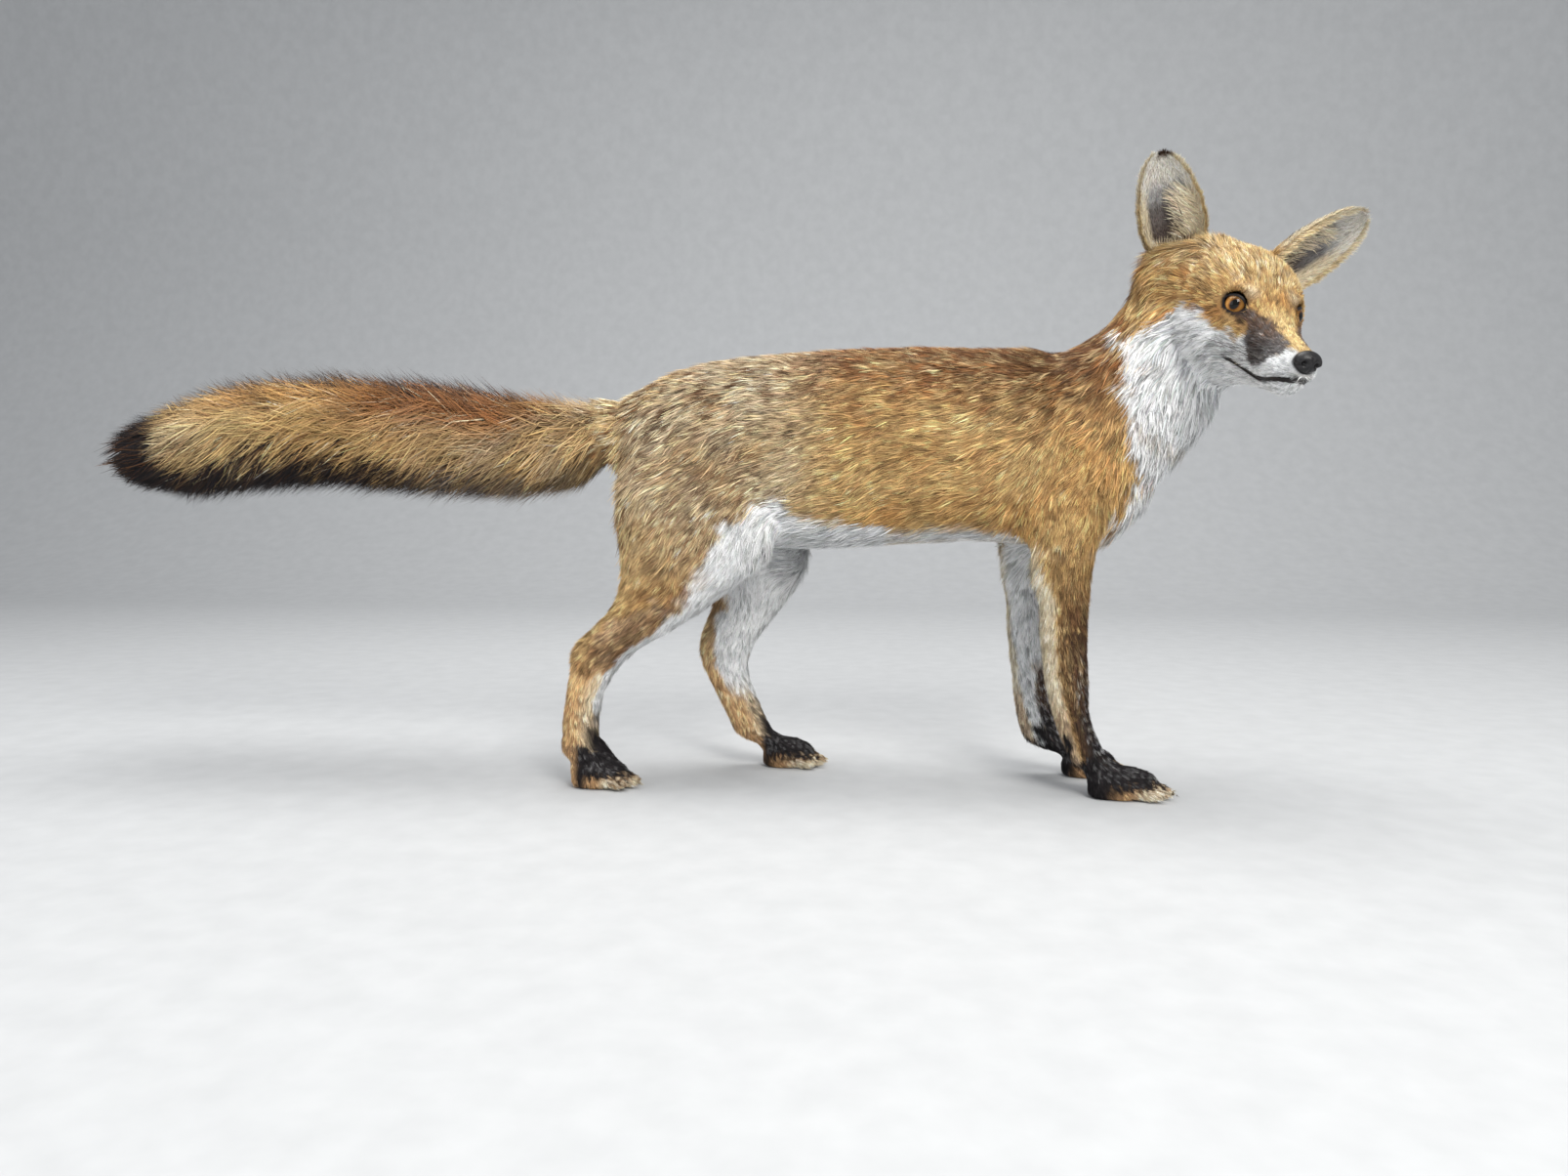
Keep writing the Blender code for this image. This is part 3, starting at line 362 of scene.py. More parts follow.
# the same in the head's frame
HEAD_LIE = (
    (128, 0, -4, -1, 0, 0.3, 9, 2.6, 10),
    (112, 0, 0, -1, 0, 0.15, 13, 3.4, 10),
    (95, 0, 3, -1, 0, 0.15, 13, 4.2, 11),
    (78, 7, 9, -1, 0.1, 0.4, 13, 4.5, 11),
    (62, 10, 19, -0.85, 0.15, 0.6, 13, 6.5, 13),
    (48, 0, 32, -0.85, 0, 0.5, 16, 8.5, 14),
    (30, 0, 42, -0.95, 0, 0.3, 18, 10, 14),
    (28, 22, 37, -0.95, 0.15, 0.2, 16, 9, 14),
    (4, 0, 48, -1, 0, 0, 22, 9.84, 15),
    (-25, 0, 45, -0.95, 0, -0.3, 24, 13.1, 16),
    (-44, 0, 10, -0.3, 0, -1, 26, 16.4, 16),
    (52, 24, 22, -0.75, 0.4, 0.5, 9, 5, 12),
    (36, 38, 12, -1, 0.2, 0.1, 13, 8, 14),
    (16, 45, 8, -1, 0.05, -0.1, 16, 9.84, 16),
    (118, 14, -14, -1, 0.35, -0.1, 9, 3.2, 10),
    (102, 18, -20, -1, 0.3, -0.15, 12, 4.2, 11),
    (84, 23, -16, -1, 0.35, -0.15, 13, 5.4, 12),
    (66, 30, -10, -0.95, 0.5, -0.15, 11, 6, 13),
    (48, 38, -12, -0.9, 0.5, -0.3, 13, 10, 16),
    (30, 46, -18, -0.85, 0.4, -0.45, 15, 12.3, 19),
    (10, 48, -25, -0.8, 0.35, -0.55, 18, 16.4, 22),
    (60, 25, -30, -1, 0.3, -0.3, 13, 8, 14),
    (40, 36, -42, -0.8, 0.3, -0.6, 15, 12.3, 18),
    (18, 42, -50, -0.6, 0.25, -0.8, 18, 16.4, 20),
    (-12, 44, -40, -0.5, 0.2, -0.9, 22, 19.7, 20),
    (118, 0, -42, -1, 0, -0.1, 10, 3.0, 9),
    (98, 8, -45, -1, 0.05, -0.15, 13, 4.5, 11),
    (76, 10, -50, -1, 0.1, -0.25, 15, 7.5, 13),
    (52, 12, -55, -0.9, 0.1, -0.5, 18, 10.7, 16),
    (25, 0, -64, -0.6, 0, -0.8, 22, 16.4, 18),
    (-30, 34, 20, -0.8, 0.2, -0.6, 18, 13.1, 16),
)


@dataclass(frozen=True)
class LegPlace:
    """Where points lie on one leg.

    Args:
        name: the leg's name.
        fore: whether it is a foreleg.
        sign: its side, 1 for the left.
        mine: which points are in its quarter of the fox.
        ahead: how far they lie ahead of its middle, in half depths.
        reach: how far they lie along its paw, 0 at the heel and 1 at the toes.
    """

    name: str
    fore: bool
    sign: int
    mine: Array
    ahead: Array
    reach: Array


def on_legs(points: Array) -> Iterator[LegPlace]:
    """Where the points lie on each leg in turn."""
    x, y, z = points.T
    for name, line in LEG_LINES.items():
        fore, sign = name.startswith("fore"), 1 if name.endswith("left") else -1
        middle, depth = np.array(line[::-1], float) * MM, np.array(LEG_DEPTH[name[:4]]) * MM
        ahead = (x - np.interp(z, middle[:, 2], middle[:, 0])) / np.interp(z, *depth.T)
        heel, _, toe, _, _ = PAWS[name]
        mine = (np.sign(y) == sign) & ((x > 0) == fore)
        yield LegPlace(name, fore, sign, mine, ahead, (x - heel) / (toe - heel))


class Lie:
    """Which way the coat lies, how long it is and how far it stands off, all over the fox."""

    def __init__(self) -> None:
        """Gathers the guides of the body, the head and the legs in one table."""
        rows = self._mirrored(BODY_LIE, Matrix.Scale(MM, 4))
        rows += self._mirrored(HEAD_LIE, HEAD.matrix())
        for line in LEG_LINES.values():
            rows += self._along_leg(line)
        for heel, y, toe, _, height in PAWS.values():
            for share, up in ((0.35, 1.0), (0.75, 0.85), (1.0, 0.4)):
                at = (heel + (toe - heel) * share, y, height * up)
                rows.append((at, unit(np.array((1.0, 0.0, -0.5))), 0.014, 0.0042, math.radians(11)))
        self.at = np.array([row[0] for row in rows])
        self.way = np.array([row[1] for row in rows])
        self.rest = np.array([row[2:] for row in rows])

    @staticmethod
    def _mirrored(table: tuple, place: Matrix) -> list:
        """The rows of a table on both sides of the middle plane, in the fox's frame."""
        rows = []
        for x, y, z, dx, dy, dz, reach, length, lift in table:
            for sign in (1, -1) if y > 0 else (1,):
                at, end = moved(place, np.array([(x, sign * y, z), (dx, sign * dy, dz)], float))
                way = unit(end - np.array(place.translation))
                rows.append((at, way, reach * MM, length * MM, math.radians(lift)))
        return rows

    @staticmethod
    def _along_leg(line: tuple) -> list:
        """Guides down one leg, lying along it."""
        rows = []
        points = np.array(line, float)
        for k, at in enumerate(points):
            way = unit(points[min(k + 1, len(points) - 1)] - points[max(k - 1, 0)])
            length, lift = read(LEG_HAIR, at[2]), read(LEG_HAIR, at[2], 2)
            rows.append((at * MM, way, 0.022, length * MM, math.radians(lift)))
        return rows

    def over(self, points: Array, normals: Array) -> tuple[Array, Array, Array]:
        """The lie of the coat at points of the skin.

        Args:
            points: places on the skin.
            normals: its outward normals there.
        Returns:
            Directions in the skin's plane, hair lengths, and lifts in radians.
        """
        flow, rest = np.zeros_like(points), np.zeros((len(points), 2))
        for start in range(0, len(points), 20000):
            part = slice(start, start + 20000)
            apart = np.linalg.norm(points[part, None] - self.at[None], axis=2) / self.rest[:, 0]
            weight = 1 / (0.12 + apart ** 2) ** 3
            weight /= weight.sum(axis=1, keepdims=True)
            flow[part] = weight @ self.way
            rest[part] = weight @ self.rest[:, 1:]
        for side in Side:
            out = points - np.array(HEAD.eye(side).translation)
            apart = np.linalg.norm(out, axis=1)
            near = (1 - ramp(apart, 0.013, 0.024))[:, None] * 0.85
            flow = flow * (1 - near) + unit(out) * near
            rest[:, 0] *= 0.42 + 0.58 * ramp(apart, 0.011, 0.026)
        dock = ramp(points[:, 0], -0.228, -0.242) * (points[:, 2] > 0.24)
        rest *= 1 - dock[:, None] * np.array((0.35, 0.6))
        swing = Ripple(0.045, 3).at(points) * 0.17 + Ripple(0.016, 4).at(points) * 0.12
        flow = turned(unit(flat_on(flow, normals)), normals, swing)
        return flow, rest[:, 0], rest[:, 1]


def turned(vectors: Array, axes: Array, angles: Array) -> Array:
    """Vectors square to their axes, each turned about its axis by its angle."""
    return vectors * np.cos(angles)[:, None] + np.cross(axes, vectors) * np.sin(angles)[:, None]


@dataclass(frozen=True)
class Hair:
    """The colour of a hair at its root and at its tip."""

    root: Colour
    tip: Colour


# the colours of the coat
GOLD = Hair((0.17, 0.09, 0.038), (0.67, 0.425, 0.17))
PALE_GOLD = Hair((0.28, 0.17, 0.08), (0.78, 0.56, 0.26))
ORANGE = Hair((0.2, 0.08, 0.022), (0.6, 0.275, 0.075))
RUFOUS = Hair((0.07, 0.03, 0.012), (0.3, 0.108, 0.03))
UMBER = Hair((0.03, 0.016, 0.009), (0.14, 0.06, 0.021))
GRIZZLE = Hair((0.04, 0.025, 0.016), (0.53, 0.385, 0.23))
CREAM = Hair((0.5, 0.41, 0.29), (0.86, 0.74, 0.53))
TAN = Hair((0.44, 0.24, 0.11), (0.88, 0.54, 0.27))
WHITE = Hair((0.6, 0.61, 0.615), (0.89, 0.905, 0.905))
GREY = Hair((0.09, 0.088, 0.09), (0.26, 0.255, 0.255))
BROWN = Hair((0.02, 0.013, 0.01), (0.07, 0.035, 0.02))
BLACK = Hair((0.006, 0.005, 0.006), (0.016, 0.013, 0.014))


@dataclass
class Paint:
    """Colours of roots and tips that are laid over each other.

    Args:
        root: the colour of each root.
        tip: the colour of each tip.
        mask: how far the next colours reach, besides their own shares.
    """

    root: Array
    tip: Array
    mask: Array | float = 1.0

    @classmethod
    def all_over(cls, count: int, hair: Hair) -> "Paint":
        """One colour everywhere."""
        return cls(np.tile(hair.root, (count, 1)), np.tile(hair.tip, (count, 1)))

    def __getitem__(self, chosen: Array) -> "Paint":
        """The chosen rows."""
        return Paint(self.root[chosen], self.tip[chosen])

    def shaded(self, root: Array, tip: Array) -> None:
        """Makes roots and tips lighter or darker, by a factor for each row."""
        self.root, self.tip = self.root * root[:, None], self.tip * tip[:, None]

    def lay(self, hair: Hair, share: Array | float = 1.0) -> None:
        """Lays a colour over what is there, as far as share and mask say."""
        share = share * self.mask
        weight = np.clip(share, 0, 1)[:, None]
        self.root = self.root * (1 - weight) + np.array(hair.root) * weight
        self.fleck(hair, share)

    def fleck(self, hair: Hair, share: Array) -> None:
        """Lays a colour over the tips alone."""
        weight = np.clip(share, 0, 1)[:, None]
        self.tip = self.tip * (1 - weight) + np.array(hair.tip) * weight


@dataclass(frozen=True)
class Markings:
    """The pattern of the coat, from place alone, so that skin and hair carry the same one."""

    belly: tuple = ((-0.24, 0.14), (-0.17, 0.165), (-0.145, 0.2), (-0.129, 0.222), (-0.113, 0.239),
                    (-0.094, 0.243), (-0.064, 0.23), (-0.04, 0.222), (0.016, 0.211), (0.074, 0.21),
                    (0.114, 0.206), (0.15, 0.198))
    throat: tuple = ((0.205, 0.172), (0.232, 0.186), (0.25, 0.195), (0.266, 0.2), (0.29, 0.195),
                     (0.33, 0.192), (0.358, 0.2), (0.38, 0.214), (0.4, 0.23), (0.425, 0.25))
    topline: tuple = ((-0.234, 0.328), (-0.18, 0.355), (-0.09, 0.369), (0.03, 0.373), (0.13, 0.369),
                      (0.17, 0.375), (0.21, 0.42))
    cheek: tuple = ((-14, -44), (-2, -40), (4, -22), (9, -5), (18, -1), (38, -6), (51, -11), (62, -14),
                    (82, -13), (94, -13), (102, -13), (110, -12), (120, -11), (128, -10), (140, -9))
    tail_dark: tuple = ((-0.7, 0.33), (-0.66, 0.278), (-0.63, 0.27), (-0.59, 0.276), (-0.545, 0.28),
                        (-0.49, 0.276), (-0.44, 0.267), (-0.4, 0.258), (-0.33, 0.248), (-0.25, 0.23))

    def at(self, points: Array, normals: Array) -> Paint:
        """Root and tip colours at points of the coat.

        Args:
            points: places on or near the skin, in the fox's frame.
            normals: outward normals there.
        Returns:
            The painted roots and tips.
        """
        paint = Paint.all_over(len(points), GOLD)
        stray = Ripple(0.02, 11).at(points) * 0.006 + Ripple(0.006, 12).at(points) * 0.003
        self._trunk(paint, points, normals, stray)
        self._tail(paint, points, stray)
        self._legs(paint, points, normals, stray)
        self._head(paint, points, normals, stray)
        return paint

    def flecked(self, p: Array, tip: Array) -> Array:
        """How far whole locks differ from their neighbours: most on rump and back, never on white or black."""
        x, _, z = p.T
        below = read(self.topline, x) - z
        rump = ramp(x, -0.03, -0.1) * ramp(z, 0.17, 0.23)
        share = 0.4 + 0.25 * ramp(below, 0.07, 0.02) + 0.36 * rump
        pale = tip.mean(axis=1)
        return share * ramp(pale, 0.72, 0.58) * ramp(pale, 0.02, 0.05)

    def _trunk(self, paint: Paint, p: Array, n: Array, stray: Array) -> None:
        """Back, flanks, thighs, belly and chest."""
        lay = paint.lay
        x, y, z = p.T
        below = read(self.topline, x) - z + stray * 1.5
        patch = Ripple(0.05, 21).at(p)
        lay(ORANGE, (0.28 + 0.22 * patch) * ramp(below, 0.05, 0.1) * ramp(x, -0.1, 0.05))
        lay(RUFOUS, ramp(x, 0.06, 0.12) * ramp(below, 0.015, 0.05) * ramp(z, 0.27, 0.32) * 0.34)
        back = (1 - ramp(below + 0.012 * patch, 0.012, 0.072)) * ramp(x, -0.17, -0.06)
        lay(RUFOUS, back * 0.92)
        lay(UMBER, (1 - ramp(below, 0.006, 0.046)) * ramp(x, -0.13, -0.02) * 0.5)
        withers = spot((x - 0.125) / 0.055, (below - 0.022) / 0.036)
        lay(UMBER, withers * (0.82 + 0.15 * patch))
        glow = spot((x - 0.07) / 0.04, (below - 0.078) / 0.026)
        lay(PALE_GOLD, glow * 0.35)
        lay(PALE_GOLD, 0.3 * ramp(below, 0.085, 0.12) * ramp(z, 0.235, 0.255) * ramp(x, 0.14, 0.09))
        rump = ramp(x, -0.03, -0.11) * ramp(z, 0.145, 0.215) * ramp(x, -0.262, -0.24)
        lay(GRIZZLE, rump * (0.85 + 0.15 * patch))
        lay(CREAM, rump * (0.22 + 0.15 * patch) * ramp(z, 0.2, 0.26))
        lay(UMBER, rump * spot((z - 0.262) / 0.04, (x + 0.165) / 0.045) * 0.35)
        lay(PALE_GOLD, rump * ramp(x, -0.212, -0.238) * 0.75)
        line = ramp(read(self.belly, x) - z + stray * 0.6, -0.006, 0.006)
        lay(WHITE, line * np.where(x > 0.085, ramp(z, 0.178, 0.192), 1))
        lay(WHITE, ramp(-n[:, 2], 0.62, 0.9) * ramp(x, -0.24, -0.2) * ramp(z, 0.178, 0.192))
        front = x - read(self.throat, z) + stray * 1.4
        behind = np.interp(z, (0.25, 0.29, 0.33, 0.37, 0.41), (0.09, 0.045, 0.018, -0.004, -0.018))
        chest = ramp(front, -0.004, 0.008) * ramp(z, 0.19, 0.205)
        chest *= ramp(y + stray * 2, behind + 0.006, behind - 0.008)
        lay(WHITE, chest)
        lay(GREY, chest * 0.22 * np.clip(Ripple(0.016, 23).at(p), 0, 1) * ramp(z, 0.4, 0.33))

    def _tail(self, paint: Paint, p: Array, stray: Array) -> None:
        """The brush: golden, darker above, black below and at the tip."""
        lay = paint.lay
        x, _, z = p.T
        paint.mask = ramp(x, -0.238, -0.262)
        up = (z - TAIL.middle(x)) / np.maximum(TAIL.half(x), 0.01)
        patch = Ripple(0.04, 31).at(p)
        lay(GOLD)
        lay(PALE_GOLD, (0.45 + 0.3 * patch) * ramp(x, -0.34, -0.27))
        lay(GRIZZLE, (0.5 + 0.3 * patch) * ramp(x, -0.5, -0.36))
        brown = ramp(x, -0.52, -0.44) * ramp(x, -0.29, -0.345) * ramp(up, -0.15, 0.45)
        lay(RUFOUS, brown * 0.9)
        lay(ORANGE, spot((x + 0.315) / 0.018) * ramp(up, 0.3, 0.9) * 0.7)
        lay(ORANGE, 0.45 * ramp(x, -0.42, -0.47) * ramp(x, -0.63, -0.57) * ramp(up, 0.25, 0.75))
        lay(PALE_GOLD, (0.55 + 0.3 * patch) * ramp(x, -0.5, -0.57) * ramp(up, 0.6, 0.1))
        lay(CREAM, 0.38 * spot((x + 0.63) / 0.03, (up - 0.1) / 0.4))
        dark = read(self.tail_dark, x) - z + stray * 2.2
        under = ramp(dark, -0.007, 0.008)
        lay(BROWN, under * ramp(x, -0.29, -0.36) * 0.8)
        lay(BLACK, under * ramp(x, -0.37, -0.45))
        lay(GREY, under * 0.5 * ramp(x, -0.44, -0.38))
        lay(BLACK, ramp(x + stray * 2, -0.64, -0.658))

    def _legs(self, paint: Paint, p: Array, n: Array, stray: Array) -> None:
        """Stockings, pale strips and toes."""
        lay = paint.lay
        _, y, z = p.T
        loose, fine = stray * 12, Ripple(0.006, 27).at(p)
        for leg in on_legs(p):
            paint.mask = leg.mine & (z < (0.215 if leg.fore else 0.225))
            dress = self._foreleg if leg.fore else self._hindleg
            dress(paint, leg.ahead + loose, n[:, 1] * leg.sign, p, stray)
            _, centre, _, width, _ = PAWS[leg.name]
            reach, across = leg.reach, (y - centre) / width
            paint.mask = paint.mask * ramp(z + stray, 0.036, 0.028)
            lay(BLACK)
            lay(TAN, (not leg.fore) * ramp(reach + loose * 0.2, 0.34, 0.16) * 0.8)
            low = ramp(z + fine * 0.003, 0.013, 0.006) * ramp(reach, 0.3, 0.6)
            lay(TAN, low * 0.65)
            lay(CREAM, ramp(reach, 0.6, 0.8) * ramp(z + fine * 0.004, 0.011, 0.005) * 0.9)
            # painted shade: the clefts between the toes darkened to black
            gap = np.min([np.abs(across - k) for k in TOE_GAPS], axis=0)
            lay(BLACK, ramp(gap, 0.09, 0.04) * ramp(reach, 0.5, 0.7))
            lay(GREY, ramp(fine, 0.2, 1.0) * ramp(z, 0.01, 0.018) * 0.45)

    @staticmethod
    def _foreleg(paint: Paint, ahead: Array, outside: Array, p: Array, stray: Array) -> None:
        """Tan above, brown and mottled below, black under that, with a cream strip behind."""
        lay = paint.lay
        z, speck = p[:, 2], Ripple(0.0042, 25).at(p)
        inner = ramp(-outside, 0.05, 0.5)
        lay(GOLD, ramp(z, 0.222, 0.195))
        lay(WHITE, inner * ramp(ahead, 0.9, 0.5) * ramp(z, 0.225, 0.205))
        dark = ramp(ahead, -0.85, -0.35) * ramp(z + stray, 0.222, 0.15)
        dark *= 1 - inner * np.maximum(ramp(z, 0.088, 0.108), ramp(ahead, 0.35, -0.05))
        lay(UMBER, dark * 0.9)
        lay(BROWN, dark * ramp(z, 0.195, 0.12) * (0.68 + 0.3 * ramp(ahead, 0.0, 0.6)))
        lay(GOLD, dark * 0.55 * ramp(speck, 0.1, 1.0) * ramp(z, 0.04, 0.08) * ramp(ahead, 0.7, 0.1))
        strip = ramp(ahead, -0.62, -0.95) * ramp(z, 0.215, 0.19)
        lay(CREAM, strip * 0.9)
        lay(RUFOUS, strip * 0.5 * ramp(z, 0.085, 0.065))
        low = ramp(z + stray * 2, 0.098, 0.052) * ramp(ahead, -0.6, 0.3) * 0.85
        lay(BLACK, low * (1 - 0.8 * inner * ramp(ahead, 0.25, -0.15)))
        lay(BLACK, ramp(z + stray * 2, 0.05, 0.036))
        ticked = ramp(z, 0.13, 0.085) * ramp(z, 0.018, 0.04) * ramp(ahead, -0.2, 0.6)
        lay(GREY, 0.75 * ticked * ramp(speck, 0.1, 0.9))
        lay(WHITE, 0.4 * ticked * ramp(speck, 0.7, 1.2))

    @staticmethod
    def _hindleg(paint: Paint, ahead: Array, outside: Array, p: Array, stray: Array) -> None:
        """Tan brown outside with a golden edge behind, white inside and in front, black foot."""
        lay = paint.lay
        z, patch = p[:, 2], Ripple(0.02, 26).at(p)
        inner = ramp(-outside, 0.05, 0.45)
        lay(GOLD, ramp(z, 0.195, 0.145) * 0.85)
        lay(RUFOUS, (0.3 + 0.2 * patch) * ramp(z, 0.215, 0.165) * ramp(z, 0.088, 0.102))
        lay(UMBER, ramp(ahead, -0.6, 0.1) * ramp(z, 0.185, 0.14) * ramp(z, 0.088, 0.1) * 0.6)
        lay(PALE_GOLD, ramp(ahead, -0.45, -0.8) * ramp(z, 0.08, 0.12) * 0.45)
        lay(TAN, ramp(z + stray, 0.106, 0.092) * 0.85)
        lay(CREAM, ramp(z + stray, 0.1, 0.085) * ramp(ahead, -0.2, 0.8) * 0.75)
        wide = np.interp(z, (0.05, 0.1, 0.14, 0.2), (1.05, 0.8, 0.5, 0.3))
        front = ramp(ahead - wide, 0.0, 0.16) * ramp(z, 0.048, 0.07)
        lay(WHITE, np.maximum(front, inner * ramp(ahead, -0.62, -0.38) * ramp(z, 0.058, 0.085)))
        lay(UMBER, inner * ramp(ahead, -0.45, -0.75) * ramp(z, 0.125, 0.145) * 0.7)
        streak = ramp(ahead, 0.25, 0.95) * ramp(z + stray, 0.074, 0.044)
        lay(BLACK, np.maximum(streak, ramp(z + stray, 0.04, 0.03)))

    def _head(self, paint: Paint, p: Array, n: Array, stray: Array) -> None:
        """Golden mask, white cheeks and lips, and the dark wedge down the muzzle."""
        lay = paint.lay
        local = HEAD.local(p)
        x, y, z = local.T
        side, loose = np.abs(y), stray * 420
        near = np.linalg.norm(local - np.array((30, 0, -12)), axis=1)
        paint.mask = ramp(near, 118, 100) * ramp(x, -40, -18) * ramp(p[:, 0] + stray * 1.4, 0.18, 0.192)
        patch, fine = Ripple(0.018, 41).at(p), Ripple(0.0055, 42).at(p)
        lay(GOLD)
        lay(ORANGE, (0.2 + 0.25 * patch) * ramp(z, 34, 20))
        lay(PALE_GOLD, ramp(z, 18, 30) * ramp(x, 70, 56) * 0.55)
        lay(CREAM, ramp(z, 16, 30) * ramp(x, 66, 50) * 0.4 * ramp(fine, 0.1, 0.8))
        lay(RUFOUS, ramp(z, 16, 30) * ramp(x, 66, 50) * 0.32 * ramp(-fine, 0.2, 0.8))
        rust = spot((x - 42) / 16, (z + 3) / 8) * ramp(side, 26, 36)
        lay(RUFOUS, rust * 0.4)
        lay(PALE_GOLD, ramp(x, 66, 80) * ramp(side, 15, 9) * ramp(z, -14, -6) * 0.85)
        line = read(self.cheek, x)
        pale = ramp(line - z + loose, -2.5, 3.0) * np.where((z > -26) & (x < 117), ramp(side, 3, 7), 1)
        lay(WHITE, np.maximum(pale, ramp(-n[:, 2], 0.55, 0.8) * ramp(z, -30, -42)))
        self._wedge(paint, x, side, z, loose, fine)
        brow = spot((x - 60) / 8, (side - 18) / 6, (z - 19) / 6)
        lay(CREAM, brow * 0.6)
        round_eye = [moved(HEAD.eye(one).inverted(), p) for one in Side]
        rim = np.min([np.hypot(q[:, 0] * 1.4, q[:, 1]) + 99 * (q[:, 2] < 0) for q in round_eye], axis=0)
        lay(BLACK, ramp(rim, 12.0, 10.4))
        tear = spot((z - 1.0 + 0.55 * (x - 62)) / 3.0) * ramp(x, 56, 60) * ramp(x, 76, 70)
        lay(BROWN, tear * ramp(side, 10, 14) * 0.9)
        mouth = spot(Lips.height_over(local) / 2.2) * ramp(x, 50, 62)
        lay(BLACK, mouth * 0.95)
        corner = spot((z - 9 + 0.28 * (x - 40)) / 2.2) * ramp(x, 22, 32) * ramp(x, 46, 40)
        lay(BROWN, corner * ramp(side, 28, 34) * 0.6)

    @staticmethod
    def _wedge(paint: Paint, x: Array, side: Array, z: Array, loose: Array, fine: Array) -> None:
        """The dark wedge from the inner corner of the eye to the whisker pad."""
        lay = paint.lay
        top = np.interp(x, (64, 67, 75, 85, 112, 119), (6.5, 5.5, 3.0, 0.5, -5, -12))
        low = np.interp(x, (64, 67, 78, 84, 92, 104, 119), (3, 1, -8, -19, -29, -30, -15))
        inside = np.minimum(top - z, z - low) + loose * 0.7 + fine * 0.5
        wedge = ramp(inside, -2.2, 2.8) * ramp(x, 63, 68) * ramp(x, 122, 115) * ramp(side, 5, 8)
        lay(BROWN, wedge)
        lay(UMBER, wedge * 0.45 * ramp(z, -12, -3))
        lay(BLACK, wedge * ramp(z, -6, -14) * 0.6)
        lay(GREY, wedge * (0.1 + 0.34 * ramp(fine, 0.0, 0.8) + 0.28 * ramp(x, 92, 106)))


MARKS = Markings()


def linked(name: str, data: bpy.types.ID) -> Object:
    """A new object of the scene with this data."""
    obj = bpy.data.objects.new(name, data)
    bpy.context.scene.collection.objects.link(obj)
    return obj


def put(name: str, points: Array, faces: list | Array) -> Object:
    """A mesh object from points in the fox's frame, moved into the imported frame.

    Args:
        name: the object's name.
        points: its points, in metres.
        faces: the point numbers around each face.
    Returns:
        The new object.
    """
    mesh = bpy.data.meshes.new(name)
    rows = [np.asarray(face) for face in faces]
    places = np.asarray(points, np.float32) + np.array(SHIFT, np.float32)
    fill_mesh(mesh, places, np.concatenate(rows), np.array([len(row) for row in rows]))
    return linked(name, mesh)


def grid(rows: int, columns: int, closed: bool = True) -> Array:
    """The corners of each face of a grid of points, closed round its columns or open at their ends."""
    r, k = np.meshgrid(np.arange(rows - 1), np.arange(columns if closed else columns - 1), indexing="ij")
    n = (k + 1) % columns
    corners = (r * columns + k, r * columns + n, (r + 1) * columns + n, (r + 1) * columns + k)
    return np.stack(corners, axis=-1).reshape(-1, 4)


def smoothed(mesh: bpy.types.Mesh) -> None:
    """Shades every face of the mesh smooth."""
    mesh.polygons.foreach_set("use_smooth", np.full(len(mesh.polygons), True))


def fill_mesh(mesh: bpy.types.Mesh, places: Array, corners: Array, counts: Array) -> None:
    """Fills an empty mesh with smooth faces, from arrays of places, corner indices and corners a face."""
    mesh.vertices.add(len(places))
    mesh.vertices.foreach_set("co", places.ravel())
    mesh.loops.add(len(corners))
    mesh.loops.foreach_set("vertex_index", corners.astype(np.int32))
    mesh.polygons.add(len(counts))
    starts = np.concatenate(([0], np.cumsum(counts)[:-1]))
    mesh.polygons.foreach_set("loop_start", starts.astype(np.int32))
    mesh.polygons.foreach_set("loop_total", counts.astype(np.int32))
    mesh.update(calc_edges=True)
    mesh.validate()
    smoothed(mesh)


def only(obj: Object | None = None) -> None:
    """Leaves this object alone selected and active, or nothing selected."""
    for other in bpy.context.view_layer.objects:
        other.select_set(False)
    if obj is not None:
        obj.select_set(True)
        bpy.context.view_layer.objects.active = obj


@contextmanager
def editing(obj: Object) -> Iterator[None]:
    """Opens the object in edit mode with all of it selected, and closes it after."""
    only(obj)
    bpy.ops.object.mode_set(mode="EDIT")
    bpy.ops.mesh.select_all(action="SELECT")
    yield
    bpy.ops.object.mode_set(mode="OBJECT")


def primitive(add: Callable, name: str, **sizes: float) -> Object:
    """A primitive at the origin, added with nothing else selected."""
    only()
    add(location=(0, 0, 0), **sizes)
    obj = bpy.context.view_layer.objects.active
    obj.name = obj.data.name = name
    return obj


def rows_of(items: bpy.types.bpy_prop_collection, key: str, width: int, kind: type = np.float32) -> Array:
    """A value of every item in a mesh's list, as rows of that width."""
    flat = np.empty(len(items) * width, kind)
    items.foreach_get(key, flat)
    return flat.reshape(-1, width)


def points_of(obj: Object) -> Array:
    """The object's points in the fox's frame."""
    return rows_of(obj.data.vertices, "co", 3).astype(float) - np.array(SHIFT)


def set_points(obj: Object, points: Array) -> None:
    """Puts the object's points at places of the fox's frame."""
    obj.data.vertices.foreach_set("co", (points + np.array(SHIFT)).astype(np.float32).ravel())
    obj.data.update()


def normals_of(obj: Object) -> Array:
    """The smooth outward normals at the object's points."""
    return rows_of(obj.data.vertex_normals, "vector", 3).astype(float)


def coloured(obj: Object, tone: Array, mark: float = 1.0) -> None:
    """Writes a colour for each point of the object into its Coat layer, and a mark beside it."""
    layers = obj.data.color_attributes
    layer = layers.get("Coat") or layers.new("Coat", "FLOAT_COLOR", "POINT")
    flat = np.column_stack((tone, np.full(len(tone), mark)))
    layer.data.foreach_set("color", flat.astype(np.float32).ravel())


def edges_of(obj: Object) -> Array:
    """The pairs of points that the object's edges join."""
    return rows_of(obj.data.edges, "vertices", 2, np.int32)


